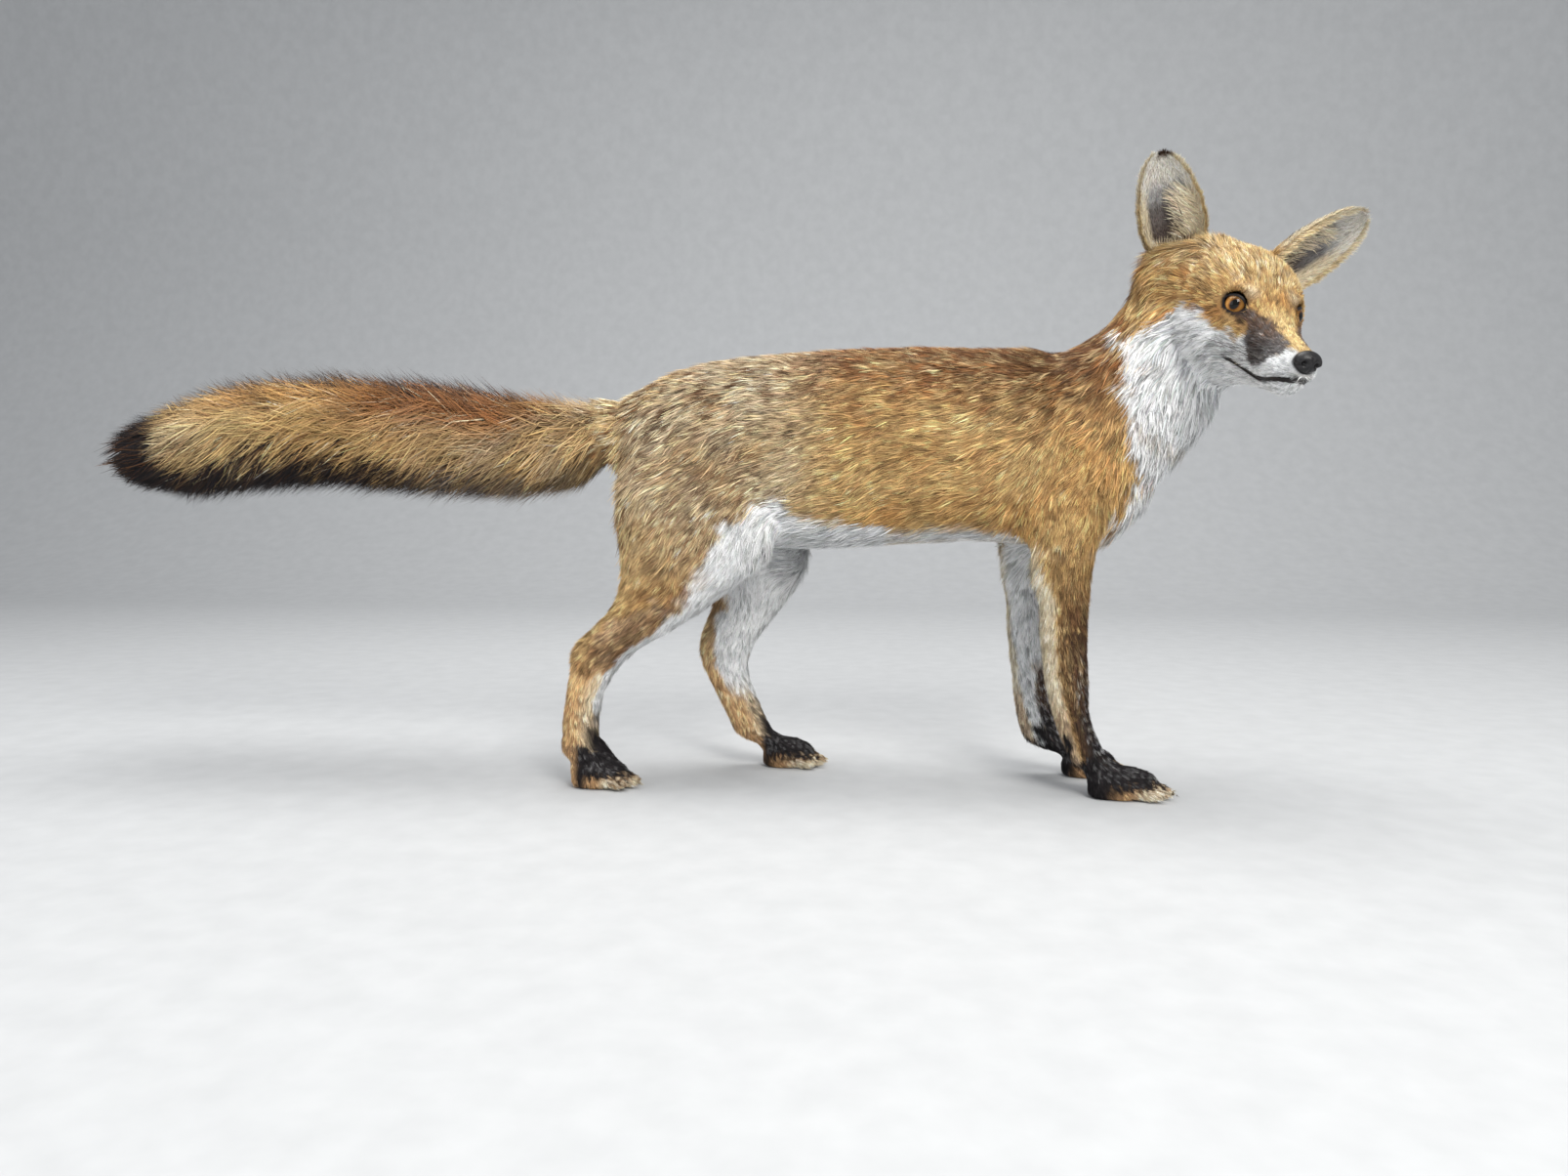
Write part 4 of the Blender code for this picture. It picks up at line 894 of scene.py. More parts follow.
def dressed(obj: Object, finish: "Finish", slot: Slot, *nodes: str) -> Object:
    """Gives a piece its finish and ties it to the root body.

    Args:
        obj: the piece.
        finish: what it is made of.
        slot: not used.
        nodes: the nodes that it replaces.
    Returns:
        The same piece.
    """
    obj.data.materials.append(finish.material())
    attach(obj, "root")
    if nodes:
        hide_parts(*nodes)
    LOG.info("%s: %d faces", obj.name, len(obj.data.polygons))
    return obj


def eased(values: Array, edges: Array, strength: Array, rounds: int, back: float = 0.0) -> Array:
    """Values at points drawn towards the mean of their neighbours.

    Args:
        values: a row for each point.
        edges: the pairs of points that edges join.
        strength: how far each point is drawn, from 0 to 1.
        rounds: how many times.
        back: the strength of the push back in each round, which keeps the volume.
    Returns:
        The eased values.
    """
    count = np.bincount(edges.ravel(), minlength=len(values))[:, None]
    one, two = edges.T
    for _ in range(rounds):
        for pull in (1.0, -back):
            if pull == 0:
                continue
            total = np.stack([
                np.bincount(one, values[two, k], len(values)) + np.bincount(two, values[one, k], len(values))
                for k in range(values.shape[1])
            ], axis=1)
            values = values + pull * strength[:, None] * (total / np.maximum(count, 1) - values)
    return values


@dataclass
class Skin:
    """The hide under the coat: one surface over every fleshy part, with ears and the tail's core.

    Args:
        voxel: the fineness of the surface in metres.
        closing: how far each solid swells to meet its neighbours.
        flesh: the solids that are covered, besides the legs.
        lie: the lie of the coat.
        ears: which of the hide's points belong to the ears, once it is painted.
    """

    voxel: float = 0.0026
    closing: float = 0.00045
    flesh: tuple[str, ...] = ("head", "lower_jaw", "neck", "torso", "tail_root")
    lie: Lie = field(default_factory=Lie)
    ears: Array | None = None

    def build(self) -> Object:
        """Models, settles and paints the hide."""
        names = list(self.flesh) + sorted(n for n in frame["nodes"] if "leg_" in n)
        body = self._grown([self._copy(name) for name in names] + [self._tail_core()])
        self._smooth(body)
        self._settle(body)
        coloured(body, np.zeros((len(body.data.vertices), 3)))
        obj = self._joined("hide", [body] + [Ear(side).shell() for side in Side])
        self._unwrap(obj)
        self._paint(obj)
        obj.data.materials.clear()
        return dressed(obj, HideFinish(), Slot.COAT, *names, "tail", "ear_left", "ear_right")

    def _copy(self, name: str) -> Object:
        """A merged copy of a solid, swollen by the closing."""
        obj = linked("flesh_" + name, frame["nodes"][name].data.copy())
        with editing(obj):
            bpy.ops.mesh.remove_doubles(threshold=0.00001)
        set_points(obj, points_of(obj) + normals_of(obj) * self.closing)
        return obj

    @staticmethod
    def _tail_core() -> Object:
        """The slim core of the brush, lofted along its stations."""
        rows, count = 44, 24
        x = np.linspace(-0.246, TAIL.end, rows)
        close = np.sqrt(np.clip(1 - np.clip((np.arange(rows) / (rows - 1) - 0.9) / 0.1, 0, 1) ** 2, 0.01, 1))
        half = TAIL.inner(x) * close
        angle = np.linspace(0, 2 * np.pi, count, endpoint=False)
        points = np.stack([
            np.repeat(x, count),
            (half[:, None] * 0.94 * np.cos(angle)).ravel(),
            (TAIL.middle(x)[:, None] + half[:, None] * np.sin(angle)).ravel(),
        ], axis=1)
        ends = [range(count), range(rows * count - 1, (rows - 1) * count - 1, -1)]
        return put("flesh_tail", points, list(grid(rows, count)[:, [0, 3, 2, 1]]) + ends)

    def _joined(self, name: str, objects: list) -> Object:
        """The objects joined into the first, under a new name."""
        only(objects[0])
        for obj in objects[1:]:
            obj.select_set(True)
        bpy.ops.object.join()
        made = bpy.context.view_layer.objects.active
        made.name = made.data.name = name
        return made

    def _grown(self, objects: list) -> Object:
        """All the fleshy parts grown into one surface."""
        obj = self._joined("body", objects)
        only(obj)
        remesh = obj.modifiers.new("Grow", "REMESH")
        remesh.mode = "VOXEL"
        remesh.voxel_size = self.voxel
        bpy.ops.object.modifier_apply(modifier=remesh.name)
        smoothed(obj.data)
        return obj

    @staticmethod
    def _smooth(obj: Object) -> None:
        """Rounds the facets away, least on the face and the toes."""
        points, edges = points_of(obj), edges_of(obj)
        x = HEAD.local(points)[:, 0]
        face = ramp(x, 25, 60) * ramp(np.linalg.norm(HEAD.local(points), axis=1), 170, 150)
        toes = ramp(points[:, 2], 0.034, 0.022)
        points = eased(points, edges, np.full(len(points), 0.5), 6, 1.04)
        points = eased(points, edges, 0.5 * (1 - np.maximum(face, toes)), 26, 1.03)
        ankle = ramp(points[:, 2], 0.018, 0.028) * ramp(points[:, 2], 0.06, 0.044)
        set_points(obj, eased(points, edges, 0.5 * ankle, 14))

    def _settle(self, obj: Object) -> None:
        """Draws the surface in by the depth of the coat, and presses the mouth and the eyes' corners in."""
        points, normals, edges = points_of(obj), normals_of(obj), edges_of(obj)
        _, length, lift = self.lie.over(points, normals)
        depth = length * np.sin(lift) * 0.88 * ramp(points[:, 2], 0.002, 0.01)
        depth *= ramp(points[:, 0], -0.262, -0.246)
        socket = np.zeros(len(points))
        for side in Side:
            place = moved(HEAD.eye(side).inverted(), points)
            across = np.hypot(place[:, 0] * 1.12, place[:, 1])
            depth *= np.maximum(ramp(across, 11, 19), ramp(np.abs(place[:, 2]), 30, 40))
            socket += ramp(across, 12.5, 10.5) * ramp(np.abs(place[:, 2]), 24, 16)
            brow = spot((place[:, 0] + 12.5) / 3.6, place[:, 1] / 9) * (place[:, 2] > 0)
            socket -= brow * 1.2
        depth = eased(depth[:, None], edges, np.full(len(points), 0.6), 12)[:, 0]
        local = HEAD.local(points)
        groove = spot(Lips.height_over(local) / 1.5) * Lips.along(local)
        points -= normals * (depth + groove * 0.0016 + socket * 0.0012 + self._toe_gaps(points))[:, None]
        points = self._filled(TAIL.slimmed(points))
        points[:, 2] = np.maximum(points[:, 2], 0.0003)
        set_points(obj, points)

    @staticmethod
    def _filled(points: Array) -> Array:
        """The legs filled out and the paws drawn forward, to where the photo has their coat."""
        x, y, z = points.T
        move = np.zeros(len(points))
        for leg in on_legs(points):
            full = np.array(LEG_FULL[leg.name], float) * MM
            on = leg.mine * (np.abs(leg.ahead) < 2.2) * ramp(z, 0.008, 0.02)
            front, back = (ramp(way * leg.ahead, -0.1, 0.8) for way in (1, -1))
            move += on * (read(full, z, 2) * front - read(full, z) * back)
            low = np.where(leg.reach < 0.5, ramp(z, 0.036, 0.014), ramp(z, 0.05, 0.022))
            steps = [step * MM for step in PAW_MOVE[leg.name]]
            move += leg.mine * (np.abs(leg.reach - 0.5) < 1.2) * low * np.interp(leg.reach, (0, 0.75), steps)
        return np.stack((x + move, y, z), axis=1)

    @staticmethod
    def _toe_gaps(points: Array) -> Array:
        """How deep the clefts between the toes are at each point."""
        deep = np.zeros(len(points))
        for heel, y, toe, width, height in PAWS.values():
            reach = (points[:, 0] - heel) / (toe - heel)
            across = (points[:, 1] - y) / width / (0.75 + 0.3 * reach)
            on = ramp(reach, 0.42, 0.7) * (np.abs(across) < 0.6) * (reach < 1.2)
            on *= points[:, 2] < height * 1.1
            for gap in TOE_GAPS:
                deep += on * spot((across - gap) / 0.065) * 0.003
        return deep

    @staticmethod
    def _unwrap(obj: Object) -> None:
        """Unwraps the hide, for its own colours and for the coat's patches."""
        with editing(obj):
            bpy.ops.uv.smart_project(angle_limit=math.radians(75), island_margin=0.002)
        obj.data.uv_layers.active.name = "OFBake"

    def _paint(self, obj: Object) -> None:
        """Writes the markings into the hide's own attribute, between root and tip."""
        points, normals = points_of(obj), normals_of(obj)
        paint = MARKS.at(points, normals)
        kept = rows_of(obj.data.color_attributes["Coat"].data, "color", 4)
        self.ears = np.abs(kept[:, 3] - 0.5) < 0.1
        coloured(obj, np.where(self.ears[:, None], kept[:, :3], paint.root * 0.35 + paint.tip * 0.4))


@dataclass
class Tufts:
    """Roots of tufts with all that shapes them; one row each."""

    root: Array
    normal: Array
    flow: Array
    length: Array
    width: Array
    lift: Array
    paint: Paint
    patch: Array

    def part(self, chosen: Array) -> "Tufts":
        """The chosen rows."""
        return Tufts(*(getattr(self, row.name)[chosen] for row in fields(self)))


@dataclass(frozen=True)
class TuftShape:
    """How a tuft is built: a thin blade with a ridge, in rings from root to tip.

    Args:
        rings: share of the length at each ring below the tip.
        broad: share of the width at those rings.
        ridge: height of the ridge as a share of the width.
        droop: how fast the tuft lies down again towards its tip.
        dark: how far up the root's colour reaches.
        sunk: how deep the root sits in the hide, in metres.
    """

    rings: tuple[float, ...] = (0.0, 0.52)
    broad: tuple[float, ...] = (0.85, 0.8)
    ridge: float = 0.3
    droop: float = 1.15
    dark: float = 0.45
    sunk: float = 0.0004

    @property
    def triangles(self) -> int:
        """How many triangles a tuft has."""
        return 4 * len(self.rings) - 2

    def build(self, name: str, tufts: Tufts, seed: int) -> Object:
        """One mesh with every tuft in it.

        Args:
            name: the piece's name.
            tufts: the roots and sizes.
            seed: the seed of the small differences between tufts.
        Returns:
            The object, with its colours and its two maps.
        """
        draw = np.random.default_rng(seed)
        count = len(tufts.root)
        across = unit(np.cross(tufts.normal, tufts.flow))
        bend = draw.normal(0, 0.1, count)
        middles = []
        for at in self.rings + (1.0,):
            angle = tufts.lift * (1.45 - self.droop * at * 0.5)
            run, rise = at * np.cos(angle), at * np.sin(angle)
            middles.append(tufts.root + tufts.flow * (tufts.length * run)[:, None]
                           + tufts.normal * (tufts.length * rise - self.sunk * (1 - at))[:, None]
                           + across * (tufts.length * bend * at * at)[:, None])
        steps = len(middles)
        normals, sideways = (np.repeat(way[:, None], steps, axis=1) for way in (tufts.normal, across))
        points, ages, sides = self.blades(np.stack(middles, axis=1), normals, sideways, tufts.width)
        points[..., 2] = np.maximum(points[..., 2], FLOOR_GAP + FLOOR_GAP * draw.random((count, 1)))
        return self.mesh(name, points, self.tones(tufts, ages, draw), ages, sides, tufts.patch)

    def blades(self, middles: Array, normals: Array, across: Array, width: Array) -> tuple[Array, Array, Array]:
        """The points of every blade from its middle line.

        Args:
            middles: the line's points from root to tip, a row for each blade.
            normals: which way its ridge stands at each.
            across: which way its edges lie at each.
            width: its width.
        Returns:
            The points, and each point's share of the length and of the width.
        """
        columns, ages, sides = [], [], []
        for k, (at, wide) in enumerate(zip(self.rings, self.broad)):
            size = (width * wide)[:, None]
            for share, up in ((0, 0), (0.5, self.ridge), (1, 0)):
                columns.append(middles[:, k] + across[:, k] * size * (share - 0.5) + normals[:, k] * size * up)
                ages.append(at), sides.append(share)
        columns.append(middles[:, -1])
        return np.stack(columns, axis=1), np.array(ages + [1.0]), np.array(sides + [0.5])

    def tones(self, tufts: Tufts, ages: Array, draw: np.random.Generator) -> Array:
        """Colours of every point of every tuft, each tuft a little lighter or darker than the next."""
        share = ramp(ages, 0.0, 2 * self.dark)[None, :, None]
        tone = tufts.paint.root[:, None] * (1 - share) + tufts.paint.tip[:, None] * share
        tone *= np.exp(draw.normal(0, 0.24, (len(tone), 1, 1)))
        tone *= np.exp(draw.normal(0, 0.03, (len(tone), 1, 3)))
        return np.clip(tone, 0.003, 0.92)

    def faces(self) -> tuple[Array, Array]:
        """Corner indices and face sizes of one tuft."""
        corners, sizes = [], []
        for a in range(0, 3 * (len(self.rings) - 1), 3):
            corners += [a, a + 1, a + 4, a + 3, a + 1, a + 2, a + 5, a + 4]
            sizes += [4, 4]
        tip = 3 * len(self.rings)
        corners += [tip - 3, tip - 2, tip, tip - 2, tip - 1, tip]
        return np.array(corners), np.array(sizes + [3, 3])

    def mesh(self, name: str, points: Array, tone: Array, ages: Array, sides: Array,
             patch: Array) -> Object:
        """The mesh object of the tufts, with colours, strand map and patch map."""
        (count, each), (corners, sizes) = points.shape[:2], self.faces()
        index = (corners[None] + np.arange(count)[:, None] * each).ravel()
        mesh = bpy.data.meshes.new(name)
        places = points.reshape(-1, 3) + np.array(SHIFT)
        fill_mesh(mesh, places.astype(np.float32), index, np.tile(sizes, count))
        obj = linked(name, mesh)
        coloured(obj, tone.reshape(-1, 3))
        own = np.stack((sides[corners], ages[corners]), axis=1)
        lane = np.random.default_rng(5).integers(0, 64, count)
        strand = own[None] + np.stack((lane, np.zeros(count)), axis=1)[:, None]
        bake = np.clip(patch[:, None] + (own[None] - 0.5) * PATCH, 0, 1)
        for label, places in (("Strand", strand), ("OFBake", bake)):
            mesh.uv_layers.new(name=label).data.foreach_set("uv", places.astype(np.float32).ravel())
        return obj


class HideSampler:
    """Draws roots over the hide, as many as the coat's cover asks for."""

    def __init__(self, hide: Object, lie: Lie, ears: Array) -> None:
        """Reads the hide's triangles and the lie of the coat over them.

        Args:
            hide: the finished hide.
            lie: the guides of the coat.
            ears: which of the hide's points belong to the ears.
        """
        mesh = hide.data
        mesh.calc_loop_triangles()
        self.triangles, self.loops = (
            rows_of(mesh.loop_triangles, key, 3, np.int32) for key in ("vertices", "loops"))
        self.uv = rows_of(mesh.uv_layers["OFBake"].data, "uv", 2)
        self.points, self.normals = points_of(hide), normals_of(hide)
        self.flow, self.length, self.lift = lie.over(self.points, self.normals)
        corner = self.points[self.triangles]
        sides = np.cross(corner[:, 1] - corner[:, 0], corner[:, 2] - corner[:, 0])
        self.area = np.linalg.norm(sides, axis=1) / 2
        self.skip = ears[self.triangles].any(axis=1)

    def _mixed(self, rows: Array, picks: Array, share: Array) -> Array:
        """Values at places inside the picked triangles."""
        return (rows[self.triangles[picks]] * share[..., None]).sum(axis=1)

    def draw(self, seed: int) -> Tufts:
        """Roots over the hide.

        Args:
            seed: the seed of their places.
        Returns:
            The tufts, without those where the hide is bare.
        """
        draw = np.random.default_rng(seed)
        long = self.length[self.triangles].mean(axis=1)
        expected = np.where(self.skip, 0, self.area * Coat.cover(long) / (long * Coat.width(long)) * 2)
        total = np.cumsum(expected)
        count = int(total[-1])
        picks = np.searchsorted(total, (np.arange(count) + draw.random(count)) / count * total[-1])
        picks = np.minimum(picks, len(expected) - 1)
        a, b = np.sqrt(draw.random(count)), draw.random(count)
        share = np.stack((1 - a, a * (1 - b), a * b), axis=1)
        rows = (self.points, self.normals, self.flow, self.length[:, None], self.lift[:, None])
        root, normal, flow, length, lift = (self._mixed(row, picks, share) for row in rows)
        normal, length = unit(normal), length[:, 0] * np.exp(draw.normal(0, 0.14, count))
        lift = lift[:, 0] * np.exp(draw.normal(0, 0.16, count))
        flow = turned(unit(flat_on(flow, normal)), normal, draw.normal(0, 0.1, count))
        patch = (self.uv[self.loops[picks]] * share[..., None]).sum(axis=1)
        tip = root + flow * length[:, None] * 0.9 + normal * (length * np.sin(lift) * 0.6)[:, None]
        tufts = Tufts(root, normal, flow, length, Coat.width(length) * draw.uniform(0.75, 1.25, count), lift,
                      MARKS.at(root + flow * length[:, None] * 0.6, normal), patch)
        return tufts.part(~Bare.at(root, tip))


@dataclass(frozen=True)
class Locks:
    """Draws neighbouring tufts together into locks, each with a shade of its own.

    Args:
        each: how many tufts a lock has.
        pull: how far their tips come together.
        shade: how much the locks differ.
    """

    each: int = 11
    pull: float = 0.6
    shade: float = 0.32

    def over(self, tufts: Tufts, seed: int) -> Tufts:
        """The same tufts in locks."""
        draw = np.random.default_rng(seed)
        heads = draw.choice(len(tufts.root), len(tufts.root) // self.each, replace=False)
        tree = KDTree(len(heads))
        for k, root in enumerate(tufts.root[heads]):
            tree.insert(root, k)
        tree.balance()
        own = np.array([tree.find(root)[1] for root in tufts.root])
        lead, normal = heads[own], tufts.normal
        gap = (tufts.root[lead] - tufts.root) * (self.pull / tufts.length)[:, None]
        flow = tufts.flow[lead] * 0.6 + tufts.flow * 0.4 + gap
        tufts = replace(tufts, flow=unit(flat_on(flow, normal)), lift=tufts.lift * 0.5 + tufts.lift[lead] * 0.5)
        luck, paint = draw.random(len(heads))[own], tufts.paint
        tone = np.exp(draw.normal(0, self.shade, len(heads)))[own] * np.exp(draw.normal(0, 0.1, len(own)))
        share = MARKS.flecked(tufts.root, paint.tip) * ramp(tufts.length, 0.006, 0.01)
        paint.fleck(UMBER, share * ramp(luck, 0.36, 0.14))
        paint.fleck(PALE_GOLD, share * ramp(luck, 0.62, 0.78) * 0.8)
        paint.fleck(CREAM, np.maximum(share - 0.6, 0) * ramp(luck, 0.72, 0.88) * 1.8)
        paint.shaded(tone, tone)
        return tufts


class Bare:
    """Where no hair grows."""

    @staticmethod
    def at(root: Array, tip: Array) -> Array:
        """Which roots are on lids, lips, nose, soles or the tail's core, or would reach over an eye."""
        local = HEAD.local(root)
        bare = (root[:, 2] < 0.003) | ((root[:, 0] < TAIL.bare) & (root[:, 2] > 0.235))
        for side in Side:
            frame_in = HEAD.eye(side).inverted()
            for places, reach in ((moved(frame_in, root), 10.8), (moved(frame_in, tip), 9.2)):
                across = np.hypot(places[:, 0] * 1.12, places[:, 1])
                bare |= (across < reach) & (places[:, 2] > -2) & (places[:, 2] < 25)
        nose = (local - np.array((131.5, 0, -15))) / np.array((9.5, 12.0, 9.4))
        bare |= np.linalg.norm(nose, axis=1) < 1
        bare |= (np.abs(Lips.height_over(local)) < 1.6) & (Lips.along(local) > 0.5)
        return bare


@dataclass
class Coat:
    """The hair of the body, head and legs, in pieces by region.

    Args:
        most: the most triangles in one piece.
        long: above this length a tuft bends.
    """

    most: int = 190000
    long: float = 0.02

    @staticmethod
    def width(length: Array) -> Array:
        """The width of a tuft of this length."""
        return 0.0005 + 0.032 * length

    @staticmethod
    def cover(length: Array) -> Array:
        """How many times tufts of this length cover the hide."""
        return read(((0.003, 2.8), (0.0075, 3.2), (0.011, 6.4), (0.015, 10.6), (0.02, 11.0)), length)

    def build(self, sampler: HideSampler) -> list[Object]:
        """Grows the coat on the hide and splits it by region."""
        tufts = Locks().over(sampler.draw(101), 102)
        zones = self._zones(tufts.root)
        zones = np.where(tufts.length > self.long, 10, zones)
        pieces = []
        for number, (name, shape) in enumerate(self._regions()):
            chosen = np.flatnonzero(zones == number)
            parts = math.ceil(len(chosen) * shape.triangles / self.most)
            for k in range(parts):
                label = name if parts == 1 else f"{name}_{k + 1}"
                obj = shape.build(label, tufts.part(chosen[k::parts]), 200 + number * 10 + k)
                pieces.append(dressed(obj, HairFinish(), Slot.COAT))
        return pieces

    @staticmethod
    def _regions() -> tuple:
        """The regions in the order of their numbers, each with the shape of its tufts."""
        names = ("head", "neck", "shoulder_right", "shoulder_left", "flank_right", "flank_left", "rump_right",
                 "rump_left", "forelegs", "hindlegs")
        blade = TuftShape(rings=(0.0,), broad=(1.0,), ridge=0.26, dark=0.5)
        return tuple(("coat_" + name, blade) for name in names) + (("coat_long", TuftShape()),)

    @staticmethod
    def _zones(root: Array) -> Array:
        """The number of the region of each root."""
        x, y, z = root.T
        head = np.linalg.norm(HEAD.local(root) - np.array((30, 0, -12)), axis=1) < 105
        left = (y > 0).astype(int)
        zone = np.where(x > 0.085, 2, np.where(x > -0.09, 4, 6)) + left
        zone = np.where((x > 0.165) & (z > 0.24), 1, zone)
        zone = np.where((z < 0.215) & (x > 0.085), 8, zone)
        zone = np.where((z < 0.2) & (x < -0.05), 9, zone)
        return np.where(head & (z > 0.3) & (HEAD.local(root)[:, 0] > -40), 0, zone)


def swept(paths: Array, radii: Array, sides: int, flat: float = 1.0) -> tuple[Array, Array]:
    """Tubes along paths, open at their ends.

    Args:
        paths: one row of points for each tube.
        radii: the radius at each point of each tube.
        sides: how many sides a tube has.
        flat: the height of its section as a share of its width.
    Returns:
        The points and the four-cornered faces.
    """
    along = unit(np.gradient(paths, axis=1))
    one = unit(np.cross(along, np.array((0.13, 0.21, 1.0))))
    two = np.cross(along, one)
    angle = np.linspace(0, 2 * np.pi, sides, endpoint=False)
    ring = (one[:, :, None] * np.cos(angle)[:, None] + two[:, :, None] * np.sin(angle)[:, None] * flat)
    points = paths[:, :, None] + ring * radii[:, :, None, None]
    count, rows = paths.shape[:2]
    faces = (grid(rows, sides) + (np.arange(count) * rows * sides)[:, None, None]).reshape(-1, 4)
    return points.reshape(-1, 3), faces


@dataclass(frozen=True)
class Ear:
    """One cupped ear: its shell, its short velvet behind and its long hair inside.

    Args:
        side: which ear.
        height: from foot to tip, in metres.
        half_width: half its greatest width.
        cup: how deep the hollow is at its foot.
        wall: the thickness at its foot.
        rows, columns: how many points the shell has up and across.
        shape: the width from foot to tip, in shares of the greatest.
        pale_from: above this length the hair inside is pale.
        combed_from: above this length it is combed outwards.
    """

    side: Side
    height: float = 0.088
    half_width: float = 0.0256
    cup: float = 0.017
    wall: float = 0.003
    rows: int = 38
    columns: int = 28
    shape: tuple = ((0.0, 0.64), (0.12, 0.84), (0.35, 1.0), (0.55, 0.95), (0.75, 0.77), (0.88, 0.57),
                    (0.96, 0.36), (1.0, 0.14))
    pale_from: float = 0.012
    combed_from: float = 0.017

    @property
    def place(self) -> Matrix:
        """The ear's frame."""
        return HEAD.ear(self.side)

    def surface(self, t: Array, s: Array, front: bool) -> Array:
        """Places on one face of the ear.

        Args:
            t: height from foot to tip, 0 to 1.
            s: place across, -1 at the inner rim to 1 at the outer.
            front: whether on the hollow face.
        Returns:
            Points in the ear's frame.
        """
        half = self.half_width * read(self.shape, t)
        bow = self.cup * (1 - t) ** 0.8 * np.maximum(np.cos(s * np.pi / 2), 0) ** 0.9
        wall = self.wall * (1 - 0.45 * t) * (1 - 0.35 * s * s)
        x = -bow - 0.0004 if front else -bow - wall
        y = self.side.value * half * np.sin(s * np.pi / 2 * 0.97)
        return np.stack((x, y, self.height * t * 0.985), axis=-1)

    def _grid(self) -> tuple[Array, Array]:
        """The heights and places across of the shell's points."""
        t, s = np.meshgrid(np.linspace(0, 1, self.rows), np.linspace(-1, 1, self.columns), indexing="ij")
        return t.ravel(), s.ravel()

    def shell(self) -> Object:
        """The closed wall of the ear."""
        t, s = self._grid()
        points = np.concatenate((self.surface(t, s, True), self.surface(t, s, False)))
        count, front = len(t), grid(self.rows, self.columns, False)
        faces = list(np.stack((front, front[:, [0, 3, 2, 1]] + count), axis=1).reshape(-1, 4))
        last = self.columns - 1
        rim = [(r, 0) for r in range(self.rows)] + [(self.rows - 1, c) for c in range(1, self.columns)]
        rim += [(r, last) for r in range(self.rows - 2, -1, -1)] + [(0, c) for c in range(last - 1, 0, -1)]
        for (r0, c0), (r1, c1) in zip(rim, rim[1:] + rim[:1]):
            a, b = r0 * self.columns + c0, r1 * self.columns + c1
            faces.append((b, a, a + count, b + count))
        obj = put("ear_shell", moved(self.place, points), faces)
        with editing(obj):
            bpy.ops.mesh.normals_make_consistent(inside=False)
        coloured(obj, self.tones(), 0.5)
        return obj

    def tones(self) -> Array:
        """Colours of the shell's points, in their order."""
        t, s = self._grid()
        hollow, back = self.front_paint(t, s), self.back_paint(t, s)
        return np.concatenate((hollow.root * 0.2 + hollow.tip * 0.8, back.root * 0.3 + back.tip * 0.7))

    def front_paint(self, t: Array, s: Array) -> Paint:
        """Colours inside the ear: a dark hollow, pale hair along the inner rim, a golden edge."""
        near, out = self.side is Side.RIGHT, np.abs(s)
        paint = Paint.all_over(len(t), BROWN)
        paint.lay(GREY, (0.45 if near else 0.8) * ramp(t, 0.1, 0.5))
        paint.lay(CREAM, ramp(out, 0.4, 0.6) * 0.9)
        paint.lay(PALE_GOLD, ramp(out, 0.78, 0.95) * (0.6 - 0.4 * ramp(t, 0.3, 0.9)))
        paint.lay(CREAM, ramp(t, 0.62, 0.78) * 0.85)
        paint.lay(WHITE, ramp(t, 0.5, 0.7) * ramp(out, 0.95, 0.75) * 0.5)
        paint.lay(BROWN, ramp(t, 0.9, 0.98) * ramp(s, 0.5, -0.1) * (1.0 if near else 0.25))
        return paint

    def back_paint(self, t: Array, s: Array) -> Paint:
        """Colours behind the ear: black velvet above a golden foot."""
        paint = Paint.all_over(len(t), GOLD)
        paint.lay(BLACK, ramp(t, 0.16, 0.34))
        paint.lay(CREAM, ramp(np.abs(s), 0.64, 0.82) * ramp(t, 0.12, 0.24) * ramp(t, 1.0, 0.94))
        return paint

    def tufts(self, patches: "Patches") -> list[tuple[str, Tufts]]:
        """The hair of the ear: velvet behind, a soft edge, and long hair from the inner rim."""
        draw = np.random.default_rng(61 + self.side.value)
        name = self.side.name.lower()
        made = [self._rows(draw, 5000, (0.02, 1.0), (-0.98, 0.98), False, 0.005, 0.35, patches)]
        for low, high in ((0.6, 0.98), (-0.98, -0.6)):
            made.append(self._rows(draw, 2600, (0.03, 1.0), (low, high), True, 0.0095, 0.36, patches))
        made.append(self._rows(draw, 1500, (0.62, 0.98), (-0.75, 0.75), True, 0.0065, 0.32, patches))
        made.append(self._rows(draw, 900, (0.08, 0.7), (-0.6, 0.6), True, 0.005, 0.25, patches))
        long = self._rows(draw, 1500, (0.03, 0.6), (-0.95, -0.3), True, 0.019, 0.5, patches)
        foot = self._rows(draw, 1000, (0.01, 0.14), (-0.8, 0.9), True, 0.015, 0.55, patches)
        return [(f"ear_velvet_{name}", joined_tufts(made)), (f"ear_hair_{name}", joined_tufts([long, foot]))]

